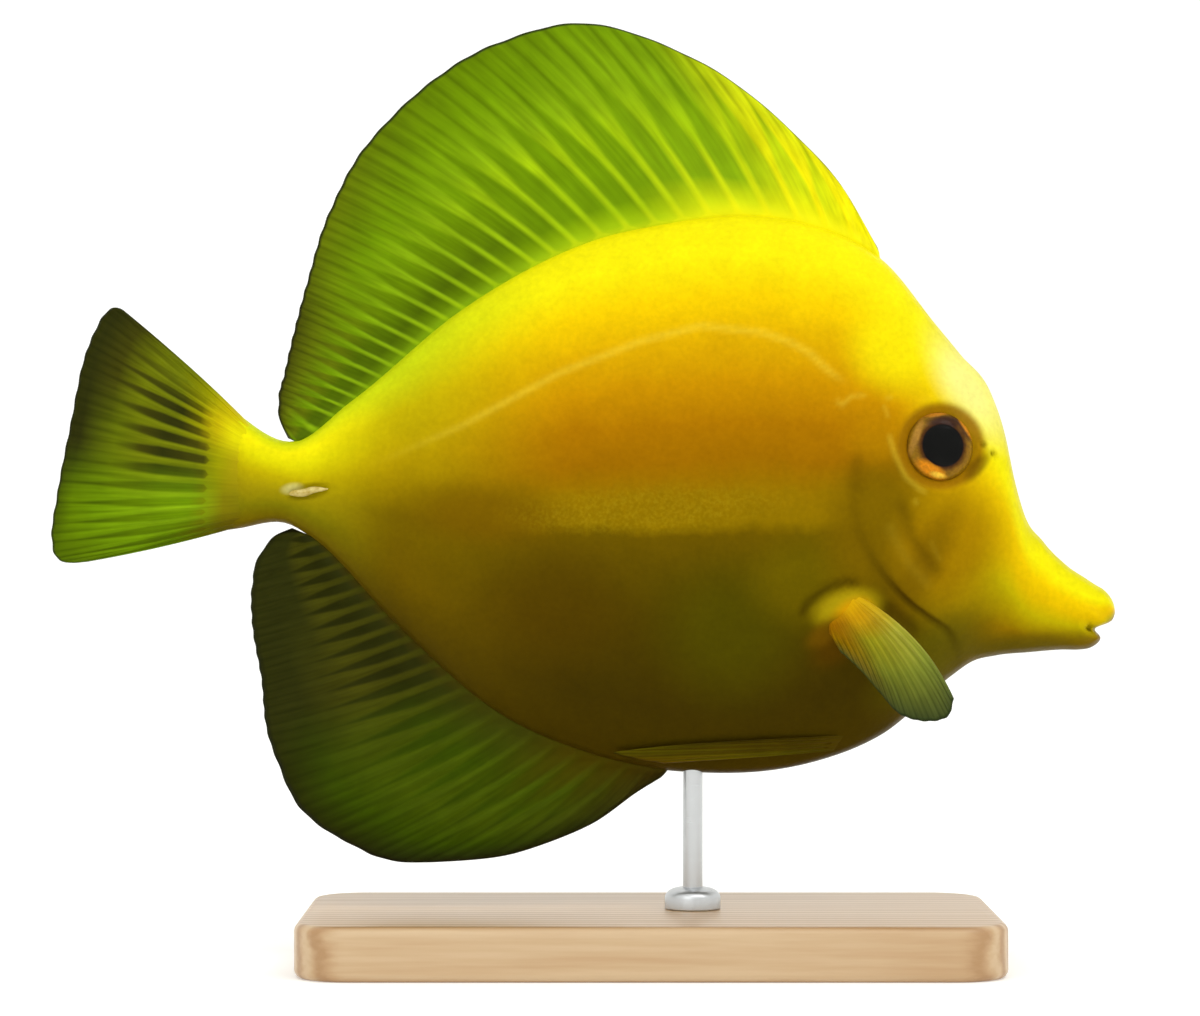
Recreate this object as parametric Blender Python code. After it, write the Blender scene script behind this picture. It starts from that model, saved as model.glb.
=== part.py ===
"""Yellow tang: a still, life-size model of the fish, held by a small display stand.

The fish faces +X and is upright, +Z. Its plane of symmetry is y = 0 and the stand rests on z = 0.
Outlines are written in millimetres, and MM turns them to metres.
"""
import math

import bmesh
import bpy
import numpy as np
from mathutils import Matrix, Vector

MM = 0.001

# Driving dimensions of the fish, in millimetres
GAP = 0.3                   # the space that two touching pieces keep
PEDUNCLE_SEAM = -36.5       # where the torso ends and the tail's stalk starts
PEDUNCLE_END = -50.0        # where the stalk ends and the tail fin starts
SNOUT_END = 79.95           # the last rib of the head, just inside the tip of the upper lip
HEAD_CROWDING = 1.5         # how much closer the head's ribs come together towards the snout
FIN_LAND = 0.9              # half the width of the flat that a fin stands on, along back and belly
SECTION_POWER = 2.2         # how flat the flank is between back and belly

# The line of the back from the tail's stalk to the tip of the upper lip, as (x, z)
BACK_LINE = [(-52.0, 82.6), (-44.0, 78.3), (-35.0, 84.4), (-19.0, 97.7), (-8.7, 104.1), (1.7, 108.7),
             (11.6, 111.0), (23.6, 112.4), (34.0, 111.0), (45.4, 105.3), (53.0, 96.0), (56.7, 91.5),
             (61.5, 85.3), (63.4, 79.7), (64.9, 72.6), (66.2, 67.9), (69.2, 63.3), (72.6, 59.8),
             (75.5, 57.8), (77.0, 56.8), (78.2, 56.1), (79.1, 55.2), (79.8, 53.9), (80.0, 52.7)]

# The line of the belly between the same ends
BELLY_LINE = [(-52.0, 65.2), (-44.0, 65.8), (-40.5, 63.6), (-28.7, 51.3), (-13.7, 38.0), (0.3, 31.5),
              (10.5, 29.1), (18.0, 28.5), (27.0, 28.7), (35.0, 30.2), (44.7, 34.1), (55.2, 42.9),
              (58.5, 45.2), (62.0, 46.1), (67.0, 46.6), (72.0, 47.0), (74.5, 47.0), (76.3, 47.3),
              (77.5, 48.1), (78.6, 49.7), (79.5, 51.1), (79.9, 52.1), (80.0, 52.6)]

# Half of the body's greatest width, as (x, half width)
HALF_WIDTHS = [(-52.0, 2.3), (-44.0, 3.3), (-36.0, 4.4), (-20.0, 7.5), (0.0, 10.2), (20.0, 11.2),
               (38.0, 10.7), (52.0, 9.4), (60.0, 7.6), (66.0, 5.6), (72.0, 4.3), (76.5, 3.7),
               (78.6, 2.9), (79.6, 1.8), (80.0, 0.5)]

# How blunt back and belly are, as (x, power): 0.5 is an ellipse, and more is a sharper edge
EDGE_POWERS = [(-52.0, 0.52), (-30.0, 0.62), (40.0, 0.64), (60.0, 0.60), (72.0, 0.50), (80.0, 0.48)]

# The rear edge of the gill cover, from the throat up to the nape, as (z, x)
GILL_EDGE = [(44.4, 57.0), (47.7, 55.9), (50.4, 54.3), (52.5, 51.3), (54.7, 48.4), (58.2, 45.1),
             (62.7, 42.1), (68.7, 40.3), (75.5, 40.6), (81.5, 41.2), (89.0, 42.0), (98.0, 43.5),
             (105.3, 45.3)]
GILL_RISE = 0.5             # how far the gill cover stands proud of the flank behind it
GILL_RISE_REACH = 9.0       # and how far forward this dies out

# The front edge of the gill cover, from its lower to its upper end, as (x, z)
COVER_FRONT = [(60.0, 47.6), (57.0, 51.0), (53.4, 56.0), (50.0, 63.5), (47.6, 70.5), (45.4, 77.5),
               (44.2, 84.0), (38.0, 86.5)]
COVER_INNER = 5.2           # half the distance between the inner faces of the two gill covers

# Mouth, nostrils and eyes
MOUTH_CORNER = (75.3, 51.3)
MOUTH_FRONT = (77.2, 50.25)
MOUTH_OPENING = [MOUTH_CORNER, (77.3, 50.5), (80.6, 51.7), (80.6, 47.2), (79.6, 47.2), (77.0, 50.0)]
LIP_RISE = 0.45
LIP_MIDDLE = 1.0            # from the line of the mouth to the crest of a lip
LIP_GROOVE = 2.7            # and to the groove behind the lip
NOSTRILS = [(59.6, 77.6), (61.0, 76.4)]
NOSTRIL_RADIUS = 0.45
NOSTRIL_DEPTH = 1.1
EYE_PLACE = (53.1, 77.5)
EYE_RADIUS = 5.7
EYE_HALF_DEPTH = 2.3
EYE_SINK = 1.25             # the eye's centre lies this far under the skin

# The scalpel of the tail, a spine that lies in a groove on each side of the stalk
SPINE_PLACE = (-41.0, 70.8)
SPINE_HALF_LENGTH = 3.0
SPINE_HALF_HEIGHT = 0.75
SPINE_HALF_DEPTH = 1.0
SPINE_TILT = 9.0

# Fins. A guide is (the number of its ray, x of its root on the body, x of its tip, z of its tip), from
# the rear forward, and the last guide's number is the fin's last ray
DORSAL_GUIDES = [(0.0, -43.4, -44.4, 78.8), (0.45, -42.0, -45.6, 81.1), (1.3, -39.2, -45.9, 84.0),
                 (3.5, -35.2, -45.0, 88.6), (6.15, -30.2, -43.5, 95.0), (8.9, -25.0, -41.6, 102.0),
                 (12.75, -16.2, -38.0, 113.2), (15.95, -7.3, -32.2, 123.4), (18.5, 1.0, -23.0, 132.4),
                 (20.8, 10.3, -13.2, 138.2), (23.5, 21.3, 2.5, 141.1), (25.05, 28.2, 13.5, 137.5),
                 (26.2, 33.3, 22.0, 132.9), (27.4, 38.4, 31.8, 124.7), (28.2, 41.6, 38.6, 117.3),
                 (29.0, 44.7, 44.3, 107.6)]
ANAL_GUIDES = [(0.0, -41.6, -43.8, 65.3), (0.35, -41.0, -46.6, 64.1), (0.8, -40.2, -48.4, 61.7),
               (2.4, -37.3, -49.8, 57.1), (4.7, -33.6, -49.9, 51.7), (8.35, -27.3, -48.5, 43.2),
               (13.05, -17.5, -46.3, 30.9), (15.15, -12.4, -42.4, 22.9), (16.9, -7.4, -36.0, 18.2),
               (19.85, 2.8, -21.5, 15.0), (21.0, 6.8, -9.5, 16.5), (21.8, 9.1, 1.1, 20.6),
               (22.5, 11.2, 8.0, 25.4), (23.0, 12.7, 11.7, 27.7)]

# A guide of the tail fin is (its ray's number, z of its root, x of its tip, z of its tip), from the
# lower edge up
CAUDAL_GUIDES = [(0.0, 65.9, -74.6, 60.2), (0.5, 66.2, -76.9, 60.0), (1.1, 66.6, -78.6, 60.3),
                 (1.8, 67.0, -79.6, 61.3), (2.65, 67.6, -80.0, 63.5), (4.9, 70.1, -79.1, 70.4),
                 (7.9, 74.9, -77.1, 80.8), (10.85, 78.2, -75.0, 91.2), (12.1, 79.4, -73.8, 94.4),
                 (13.1, 80.0, -72.4, 97.1), (13.9, 80.5, -71.0, 98.4), (14.5, 80.8, -69.5, 98.3),
                 (15.0, 81.1, -67.9, 96.9)]

# A guide of a paired fin is (its ray's number, x and z of its root, x and z of its tip, how far the tip
# stands out)
PECTORAL_GUIDES = [(0.0, 41.6, 54.9, 53.1, 41.1, 21.0), (1.7, 40.9, 54.3, 52.4, 38.6, 20.5),
                   (4.0, 40.2, 53.7, 49.0, 37.7, 19.0), (5.8, 39.4, 53.0, 46.1, 38.4, 17.5),
                   (8.8, 38.4, 52.1, 43.0, 41.6, 13.5), (11.1, 37.3, 51.2, 40.3, 44.8, 10.5),
                   (13.0, 36.4, 50.4, 37.6, 47.4, 7.5)]
PELVIC_GUIDES = [(0.0, 38.9, 34.4, 22.0, 33.6, 0.5), (1.2, 38.6, 33.9, 14.0, 33.0, 0.7),
                 (2.1, 38.3, 33.4, 8.5, 32.4, 0.8), (2.8, 38.0, 32.9, 4.6, 31.8, 0.9),
                 (3.6, 37.7, 32.4, 7.0, 31.0, 0.8), (5.0, 37.4, 31.9, 12.0, 30.1, 0.6)]

DORSAL_SWEEP = 0.6          # the middle rays' tips lie this many spaces further back than their roots
PECTORAL_BULGE = (1.15, 0.96)   # how far the pectoral fin's leading edge bows forward and up
PECTORAL_FADING = 1.2       # how fast that bow dies out towards the trailing edge
PECTORAL_CAMBER = 0.045     # how far a pectoral ray bows outward, as a share of its length

# Half thicknesses of a fin: its fleshy root, the membrane, and a ray on it near the root and at the tip
ROOT_HALF = 0.8
MEMBRANE_HALF = 0.26
RAY_HALF = 0.62
RAY_TIP_HALF = 0.36
ROOT_REACH = 1.1            # how far from the body the fleshy root dies out
TAIL_FLESH = (0.25, 2.15)   # the tail fin's fleshy root is this thick at its rims, and more in its middle
TAIL_FLESH_REACH = 11.5     # and it dies out this far from the stalk
EDGE_THINNING = 0.5         # what is left of the thickness along the outer edge
SCALLOP = 0.35              # how far the membrane's edge lies back between two ray tips
FIN_ROWS = (0.0, 0.05, 0.14, 0.3, 0.48, 0.66, 0.82, 0.94, 1.0)
ROOT_TURN = 0.2             # over this share of a ray its root turns square to the flank
PELVIC_CLEARANCE = 0.5      # a folded pelvic fin lies this far off the flank, measured along Y

# The display stand
BASE_LENGTH = 104.0
BASE_WIDTH = 54.0
BASE_HEIGHT = 8.0
BASE_CORNER = 8.0
BASE_BEVEL = 1.2
BASE_CENTRE_X = 10.0
ROD_X = 16.5                # under the fish's centre of mass
ROD_RADIUS = 1.5
COLLAR_RADIUS = 4.2
COLLAR_HEIGHT = 3.0


def through(at, values):
    """A smooth curve through values that are given at rising parameters."""
    at = np.asarray(at, float)
    values = np.asarray(values, float)
    span = np.diff(at)
    rise = (np.diff(values, axis=0).T / span).T
    slope = np.empty_like(values)
    slope[0] = rise[0]
    slope[-1] = rise[-1]
    share = span[:-1] / (span[:-1] + span[1:])
    slope[1:-1] = (rise[:-1].T * (1.0 - share) + rise[1:].T * share).T

    def value(u):
        i = int(np.clip(np.searchsorted(at, u) - 1, 0, len(span) - 1))
        s = min(max((u - at[i]) / span[i], 0.0), 1.0)
        a = s * s * (3.0 - 2.0 * s)
        bend = slope[i] * s * (1.0 - s) ** 2 - slope[i + 1] * s * s * (1.0 - s)
        return values[i] * (1.0 - a) + values[i + 1] * a + span[i] * bend

    return value


def graph(knots):
    """The smooth graph of one coordinate over another."""
    table = np.array(knots)
    return through(table[:, 0], table[:, 1])


def nosed(knots):
    """A smooth graph over x that comes round at the snout's tip: its knots are joined over the root of
    the distance from there."""
    table = np.array(knots)
    tip = table[-1, 0]
    curve = through(-np.sqrt(tip - table[:, 0]), table[:, 1])
    return lambda x: curve(-math.sqrt(max(tip - x, 0.0)))


def fan(guides):
    """How many rays a fin has, and its guides as one smooth function of 0 to 1 along the fin, where the
    rays come at even steps."""
    table = np.array(guides)
    last = table[-1, 0]
    return int(last) + 1, through(table[:, 0] / last, table[:, 1:])


back = nosed(BACK_LINE)
belly = nosed(BELLY_LINE)
half_width = nosed(HALF_WIDTHS)
edge_power = graph(EDGE_POWERS)
gill_edge = graph(GILL_EDGE)


def bump(distance, width):
    """A smooth swelling: one at no distance, nothing well past its width."""
    return math.exp(-(distance / width) ** 2)


def mouth_distance(x, z):
    """How far a point of the side view lies from the line of the mouth."""
    corner = Vector(MOUTH_CORNER)
    run = Vector(MOUTH_FRONT) - corner
    share = min(max((Vector((x, z)) - corner).dot(run) / run.length_squared, 0.0), 1.0)
    return (Vector((x, z)) - corner - run * share).length


def flank(x, z):
    """Half the body's thickness at a point of the side view."""
    low = belly(x)
    high = back(x)
    share = min(max((2.0 * z - low - high) / (high - low), -1.0), 1.0)
    land = min(FIN_LAND, 0.5 * half_width(x))
    lens = (1.0 - abs(share) ** SECTION_POWER) ** edge_power(x)
    y = land + (half_width(x) - land) * lens
    behind = x - gill_edge(min(max(z, GILL_EDGE[0][0]), GILL_EDGE[-1][0]))
    if 0.0 < behind < GILL_RISE_REACH:
        y += GILL_RISE * lens * (1.0 - behind / GILL_RISE_REACH) ** 2
    if x > MOUTH_CORNER[0] - 4.0:
        away = mouth_distance(x, z)
        lips = LIP_RISE * bump(away - LIP_MIDDLE, 0.9) - 0.5 * LIP_RISE * bump(away - LIP_GROOVE, 0.7)
        y += lips * min(1.0, y / 2.0)
    return y


def flank_normal(x, z):
    """The outward direction of the left flank."""
    step = 0.2
    slope_x = (flank(x + step, z) - flank(x - step, z)) / (2.0 * step)
    slope_z = (flank(x, z + step) - flank(x, z - step)) / (2.0 * step)
    return Vector((-slope_x, 1.0, -slope_z)).normalized()


def rows_between(count):
    """Steps from 0 to 1 that are closer together near both ends."""
    even = np.linspace(0.0, 1.0, count + 1)
    return 0.3 * even + 0.7 * (1.0 - np.cos(math.pi * even)) / 2.0


def make_object(name, mesh_builder, colour, roughness, metallic=0.0, smooth=40.0):
    """A named object from a bmesh in millimetres, with its own material."""
    bmesh.ops.recalc_face_normals(mesh_builder, faces=mesh_builder.faces)
    bmesh.ops.scale(mesh_builder, vec=(MM, MM, MM), verts=mesh_builder.verts)
    mesh = bpy.data.meshes.new(name)
    mesh_builder.to_mesh(mesh)
    mesh_builder.free()
    mesh.shade_smooth()
    mesh.set_sharp_from_angle(angle=math.radians(smooth))
    made = bpy.data.objects.new(name, mesh)
    bpy.context.scene.collection.objects.link(made)
    if colour is not None:
        mesh.materials.append(paint(name, colour, roughness, metallic))
    return made


def paint(name, colour, roughness, metallic):
    """A plain Principled material of its own for each piece."""
    material = bpy.data.materials.new(name)
    material.use_nodes = True
    shader = material.node_tree.nodes["Principled BSDF"]
    shader.inputs["Base Color"].default_value = (*colour, 1.0)
    shader.inputs["Roughness"].default_value = roughness
    shader.inputs["Metallic"].default_value = metallic
    return material


def loft(ribs):
    """A closed body over ribs of the side view, each a list of (x, z) from belly to back."""
    builder = bmesh.new()
    rings = []
    for rib in ribs:
        left = [builder.verts.new((x, flank(x, z), z)) for x, z in rib]
        right = [builder.verts.new((x, -flank(x, z), z)) for x, z in rib]
        rings.append((left, right))
    rows = range(len(ribs[0]) - 1)
    for (left, right), (left_on, right_on) in zip(rings, rings[1:]):
        for k in rows:
            builder.faces.new((left[k], left_on[k], left_on[k + 1], left[k + 1]))
            builder.faces.new((right[k], right[k + 1], right_on[k + 1], right_on[k]))
        builder.faces.new((left[0], right[0], right_on[0], left_on[0]))
        builder.faces.new((left[-1], left_on[-1], right_on[-1], right[-1]))
    for left, right in (rings[0], rings[-1]):
        for k in rows:
            builder.faces.new((left[k], left[k + 1], right[k + 1], right[k]))
    return builder


def rib_between(start, end, share, rows):
    """One rib, a share of the way from one seam to another, each given as x over the rows."""
    across = [a + (b - a) * share for a, b in zip(start, end)]
    low = belly(across[0])
    high = back(across[-1])
    return [(x, low + (high - low) * step) for x, step in zip(across, rows)]


def gill_seam(rows, gap):
    """The gill cover's rear edge as x over the rows, moved forward by a gap across the seam."""
    low, high = GILL_EDGE[0][0], GILL_EDGE[-1][0]
    seam = []
    for step in rows:
        z = low + (high - low) * step
        lean = (gill_edge(z + 0.1) - gill_edge(z - 0.1)) / 0.2
        seam.append(gill_edge(z) + gap * math.hypot(1.0, lean))
    return seam


def fuse(target, others, operation, solver="EXACT"):
    """Join other objects to a target, or cut them away, and remove them."""
    for other in others:
        modifier = target.modifiers.new(other.name, "BOOLEAN")
        modifier.operation = operation
        modifier.solver = solver
        modifier.object = other
    depsgraph = bpy.context.evaluated_depsgraph_get()
    finished = bpy.data.meshes.new_from_object(target.evaluated_get(depsgraph))
    target.modifiers.clear()
    target.data = finished
    for other in others:
        bpy.data.objects.remove(other)


def prism(outline, y_from, y_to):
    """A side-view outline given thickness along Y."""
    builder = bmesh.new()
    near = [builder.verts.new((x, y_from, z)) for x, z in outline]
    far = [builder.verts.new((x, y_to, z)) for x, z in outline]
    builder.faces.new(near)
    builder.faces.new(far)
    for k in range(len(outline)):
        n = (k + 1) % len(outline)
        builder.faces.new((near[k], near[n], far[n], far[k]))
    return builder


def ellipsoid(place, axes, facing, segments, rings):
    """A ball with three half axes; its middle one points along the facing direction."""
    builder = bmesh.new()
    bmesh.ops.create_uvsphere(builder, u_segments=segments, v_segments=rings, radius=1.0)
    turn = Vector((0.0, 0.0, 1.0)).rotation_difference(facing).to_matrix().to_4x4()
    place = Matrix.Translation(place) @ turn @ Matrix.Diagonal((axes[0], axes[2], axes[1], 1.0))
    bmesh.ops.transform(builder, matrix=place, verts=builder.verts)
    return builder


YELLOW = (0.90, 0.72, 0.01)


def torso_and_tail():
    """The trunk from the gill covers back, and the stalk that carries the tail fin."""
    rows = rows_between(20)
    seam = gill_seam(rows, 0.0)
    rear = [PEDUNCLE_SEAM] * len(rows)
    shares = np.linspace(0.0, 1.0, 21)
    make_object("torso", loft([rib_between(rear, seam, share, rows) for share in shares]), YELLOW, 0.42)
    stalk = [PEDUNCLE_SEAM - GAP] * len(rows)
    end = [PEDUNCLE_END] * len(rows)
    tail = make_object("caudal_peduncle",
                       loft([rib_between(end, stalk, share, rows) for share in np.linspace(0.0, 1.0, 7)]),
                       (0.72, 0.62, 0.02), 0.42)
    grooves = [tail_spine("groove", side, GAP) for side in (1, -1)]
    fuse(tail, grooves, "DIFFERENCE")
    for word, side in (("left", 1), ("right", -1)):
        tail_spine("caudal_spine_" + word, side, 0.0)


def tail_spine(name, side, grow):
    """The flat spine in its sheath, or with some growth the groove that it lies in."""
    x, z = SPINE_PLACE
    axes = (SPINE_HALF_LENGTH + grow, SPINE_HALF_DEPTH + grow, SPINE_HALF_HEIGHT + grow)
    builder = bmesh.new()
    bmesh.ops.create_uvsphere(builder, u_segments=12, v_segments=6, radius=1.0)
    turn = Matrix.Rotation(math.radians(90.0), 4, "Y")
    tilt = Matrix.Rotation(math.radians(-SPINE_TILT), 4, "Y")
    size = Matrix.Diagonal((*axes, 1.0))
    place = Matrix.Translation((x, side * flank(x, z), z)) @ tilt @ size @ turn
    bmesh.ops.transform(builder, matrix=place, verts=builder.verts)
    return make_object(name, builder, (0.62, 0.50, 0.14), 0.45)


def head():
    """The head with its mouth, nostrils and eye sockets, and a gill cover set in on each side."""
    rows = rows_between(20)
    seam = gill_seam(rows, GAP)
    snout = [SNOUT_END] * len(rows)
    shares = 1.0 - (1.0 - np.linspace(0.0, 1.0, 24)) ** HEAD_CROWDING
    whole = make_object("head", loft([rib_between(seam, snout, share, rows) for share in shares]),
                        YELLOW, 0.42)
    for word, side in (("left", 1), ("right", -1)):
        cover = whole.copy()
        cover.data = whole.data.copy()
        cover.name = "gill_cover_" + word
        bpy.context.scene.collection.objects.link(cover)
        cover.data.materials.clear()
        cover.data.materials.append(paint(cover.name, (0.62, 0.36, 0.0), 0.42, 0.0))
        block = prism(COVER_FRONT + [(38.0, 47.6)], side * COVER_INNER, side * 20.0)
        fuse(cover, [make_object("block", block, None, 0.5)], "INTERSECT")
    cuts = []
    for side in (1, -1):
        pocket = offset_outline(COVER_FRONT, GAP) + [(38.0, 47.6 - GAP)]
        cuts.append(make_object("pocket", prism(pocket, side * (COVER_INNER - GAP), side * 20.0), None, 0.5))
        cuts.append(eye("socket", side, GAP))
        for x, z in NOSTRILS:
            cuts.append(nostril(x, z, side))
    cuts.append(make_object("mouth", prism(MOUTH_OPENING, -8.0, 8.0), None, 0.5))
    fuse(whole, cuts, "DIFFERENCE")
    for word, side in (("left", 1), ("right", -1)):
        eye("eye_" + word, side, 0.0)


def offset_outline(line, gap):
    """An open line of the side view moved forward, across its own direction."""
    moved = []
    for k, (x, z) in enumerate(line):
        before = Vector(line[max(k - 1, 0)])
        after = Vector(line[min(k + 1, len(line) - 1)])
        run = (after - before).normalized()
        moved.append((x + gap * run.y, z - gap * run.x))
    return moved


def eye(name, side, grow):
    """The eyeball's outer lens, or with some growth the socket that it sits in."""
    x, z = EYE_PLACE
    outward = flank_normal(x, z)
    centre = Vector((x, flank(x, z), z)) - outward * EYE_SINK
    facing = Vector((outward.x, side * outward.y, outward.z))
    axes = (EYE_RADIUS + grow, EYE_HALF_DEPTH + grow, EYE_RADIUS + grow)
    ball = ellipsoid((centre.x, side * centre.y, centre.z), axes, facing, 20, 10)
    return make_object(name, ball, (0.30, 0.13, 0.01), 0.08)


def nostril(x, z, side):
    """A round nostril's hole."""
    builder = bmesh.new()
    bmesh.ops.create_cone(builder, cap_ends=True, segments=8, radius1=NOSTRIL_RADIUS,
                          radius2=NOSTRIL_RADIUS, depth=2.0 * NOSTRIL_DEPTH)
    turn = Matrix.Rotation(math.radians(90.0), 4, "X")
    place = Matrix.Translation((x, side * flank(x, z), z)) @ turn
    bmesh.ops.transform(builder, matrix=place, verts=builder.verts)
    return make_object("nostril", builder, None, 0.5)


def sheet(columns):
    """A closed thin sheet from columns of (centre, half thickness), split alike on both faces."""
    builder = bmesh.new()
    faces = []
    for sign in (1.0, -1.0):
        faces.append([[builder.verts.new(centre + sign * half) for centre, half in column]
                      for column in columns])
    wide, tall = len(columns), len(columns[0])
    for face in faces:
        for i in range(wide - 1):
            for k in range(tall - 1):
                a, b, c, d = face[i][k], face[i + 1][k], face[i + 1][k + 1], face[i][k + 1]
                builder.faces.new((a, b, c))
                builder.faces.new((a, c, d))
    rim = [(i, 0) for i in range(wide)] + [(wide - 1, k) for k in range(1, tall)]
    rim += [(i, tall - 1) for i in range(wide - 2, -1, -1)] + [(0, k) for k in range(tall - 2, 0, -1)]
    for (i, k), (j, m) in zip(rim, rim[1:] + rim[:1]):
        builder.faces.new((faces[0][i][k], faces[0][j][m], faces[1][j][m]))
        builder.faces.new((faces[0][i][k], faces[1][j][m], faces[1][i][k]))
    return builder


def fin_half(distance, length, on_ray):
    """Half a fin's thickness, a distance out from its root, on a ray or midway between two."""
    half = MEMBRANE_HALF
    if on_ray:
        half = RAY_HALF + (RAY_TIP_HALF - RAY_HALF) * min(distance / length, 1.0)
    half += (ROOT_HALF - half) * math.exp(-(distance / ROOT_REACH) ** 2)
    thinning = max(0.0, 1.0 - (length - distance) / (0.1 * length + 0.4))
    return half * (1.0 - (1.0 - EDGE_THINNING) * thinning)


def ray_columns(rays):
    """The columns of a fin as (share of the way along it, whether a ray lies there)."""
    return [(i / (2 * rays - 2), i % 2 == 0) for i in range(2 * rays - 1)]


def flat_fin(name, rays, ends, bow, colour, flesh=None):
    """A fin in the plane of symmetry. ends gives a ray's root and tip in the side view, and flesh half
    the thickness of a fleshy root at a share along the fin and a distance out."""
    columns = []
    for share, on_ray in ray_columns(rays):
        root, tip = ends(share)
        run = tip - root
        if not on_ray:
            run -= run.normalized() * SCALLOP
        across = Vector((-run.y, run.x)) * bow(share)
        column = []
        for step in FIN_ROWS:
            place = root + run * step + across * (step * (1.0 - step))
            half = fin_half(step * run.length, run.length, on_ray)
            if flesh:
                half = math.hypot(half, flesh(share, step * run.length))
            column.append((Vector((place.x, 0.0, place.y)), Vector((0.0, half, 0.0))))
        columns.append(column)
    make_object(name, sheet(columns), colour, 0.5)


def unpaired_fins():
    """The fins of the back, the belly and the tail."""
    dorsal_rays, dorsal = fan(DORSAL_GUIDES)
    anal_rays, anal = fan(ANAL_GUIDES)
    caudal_rays, caudal = fan(CAUDAL_GUIDES)

    def dorsal_ends(v):
        root, _, _ = dorsal(v)
        _, tip_x, tip_z = dorsal(v - DORSAL_SWEEP / (dorsal_rays - 1) * math.sin(math.pi * v))
        return on_edge(back, root, GAP), Vector((tip_x, tip_z))

    def anal_ends(v):
        root, tip_x, tip_z = anal(v)
        return on_edge(belly, root, -GAP), Vector((tip_x, tip_z))

    def caudal_ends(v):
        root, tip_x, tip_z = caudal(v)
        return Vector((PEDUNCLE_END - GAP, root)), Vector((tip_x, tip_z))

    def caudal_flesh(v, distance):
        rim, middle = TAIL_FLESH
        lens = math.sqrt(max(1.0 - abs(2.0 * v - 1.0) ** SECTION_POWER, 0.0))
        left = max(0.0, 1.0 - distance / TAIL_FLESH_REACH)
        return (rim + middle * lens) * left * left * (3.0 - 2.0 * left)

    flat_fin("dorsal_fin", dorsal_rays, dorsal_ends, lambda share: -0.15 * share, (0.42, 0.56, 0.02))
    flat_fin("anal_fin", anal_rays, anal_ends, lambda share: 0.15 * share, (0.10, 0.14, 0.01))
    flat_fin("caudal_fin", caudal_rays, caudal_ends, lambda share: 0.06 * (1.0 - 2.0 * share),
             (0.30, 0.34, 0.02), caudal_flesh)


def on_edge(line, x, gap):
    """A point off the back or belly, a gap away across the line."""
    lean = (line(x + 0.1) - line(x - 0.1)) / 0.2
    away = Vector((-lean, 1.0)).normalized() * gap
    return Vector((x, line(x))) + away


def pectoral_fin(name, side):
    """A pectoral fin, swung forward and out, its thick root on the flank behind the gill cover."""
    count, guide = fan(PECTORAL_GUIDES)
    rays = []
    for share, on_ray in ray_columns(count):
        root_x, root_z, tip_x, tip_z, out = guide(share)
        skin = flank_normal(root_x, root_z)
        root = Vector((root_x, flank(root_x, root_z), root_z)) + skin * GAP
        tip = Vector((tip_x, flank(root_x, root_z) + out, tip_z))
        run = tip - root
        if not on_ray:
            run -= run.normalized() * SCALLOP
        leading = (1.0 - share) ** PECTORAL_FADING
        bow = Vector((PECTORAL_BULGE[0] * leading, PECTORAL_CAMBER * run.length, PECTORAL_BULGE[1] * leading))
        rays.append((root, run, skin, on_ray, bow))
    columns = []
    for i, (root, run, skin, on_ray, bow) in enumerate(rays):
        before = rays[max(i - 1, 0)]
        after = rays[min(i + 1, len(rays) - 1)]
        spread = 2.0 * (after[0] - before[0]) + after[1] - before[1]
        normal = run.cross(spread).normalized()
        column = []
        for step in FIN_ROWS:
            turn = max(0.0, 1.0 - step / ROOT_TURN)
            facing = (normal - skin * (normal.dot(skin) * turn)).normalized()
            half = fin_half(step * run.length, run.length, on_ray)
            arch = 4.0 * step * (1.0 - step)
            column.append((root + run * step + bow * arch, facing * half))
        columns.append(column)
    make_object(name, mirrored(sheet(columns), side), (0.60, 0.42, 0.03), 0.5)


def pelvic_fin(name, side):
    """A pelvic fin folded back along the belly, just clear of the skin."""
    count, guide = fan(PELVIC_GUIDES)
    columns = []
    for share, on_ray in ray_columns(count):
        root_x, root_z, tip_x, tip_z, out = guide(share)
        run = Vector((tip_x - root_x, tip_z - root_z))
        column = []
        for step in FIN_ROWS:
            place = Vector((root_x, root_z)) + run * step
            half = fin_half(step * run.length, run.length, on_ray)
            y = flank(place.x, place.y) + PELVIC_CLEARANCE + half + out * step
            column.append((Vector((place.x, y, place.y)), Vector((0.0, half, 0.0))))
        columns.append(column)
    make_object(name, mirrored(sheet(columns), side), (0.20, 0.17, 0.02), 0.5)


def mirrored(builder, side):
    """The same piece on the left, or on the right of the plane of symmetry."""
    if side < 0:
        bmesh.ops.scale(builder, vec=(1.0, -1.0, 1.0), verts=builder.verts)
    return builder


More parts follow.
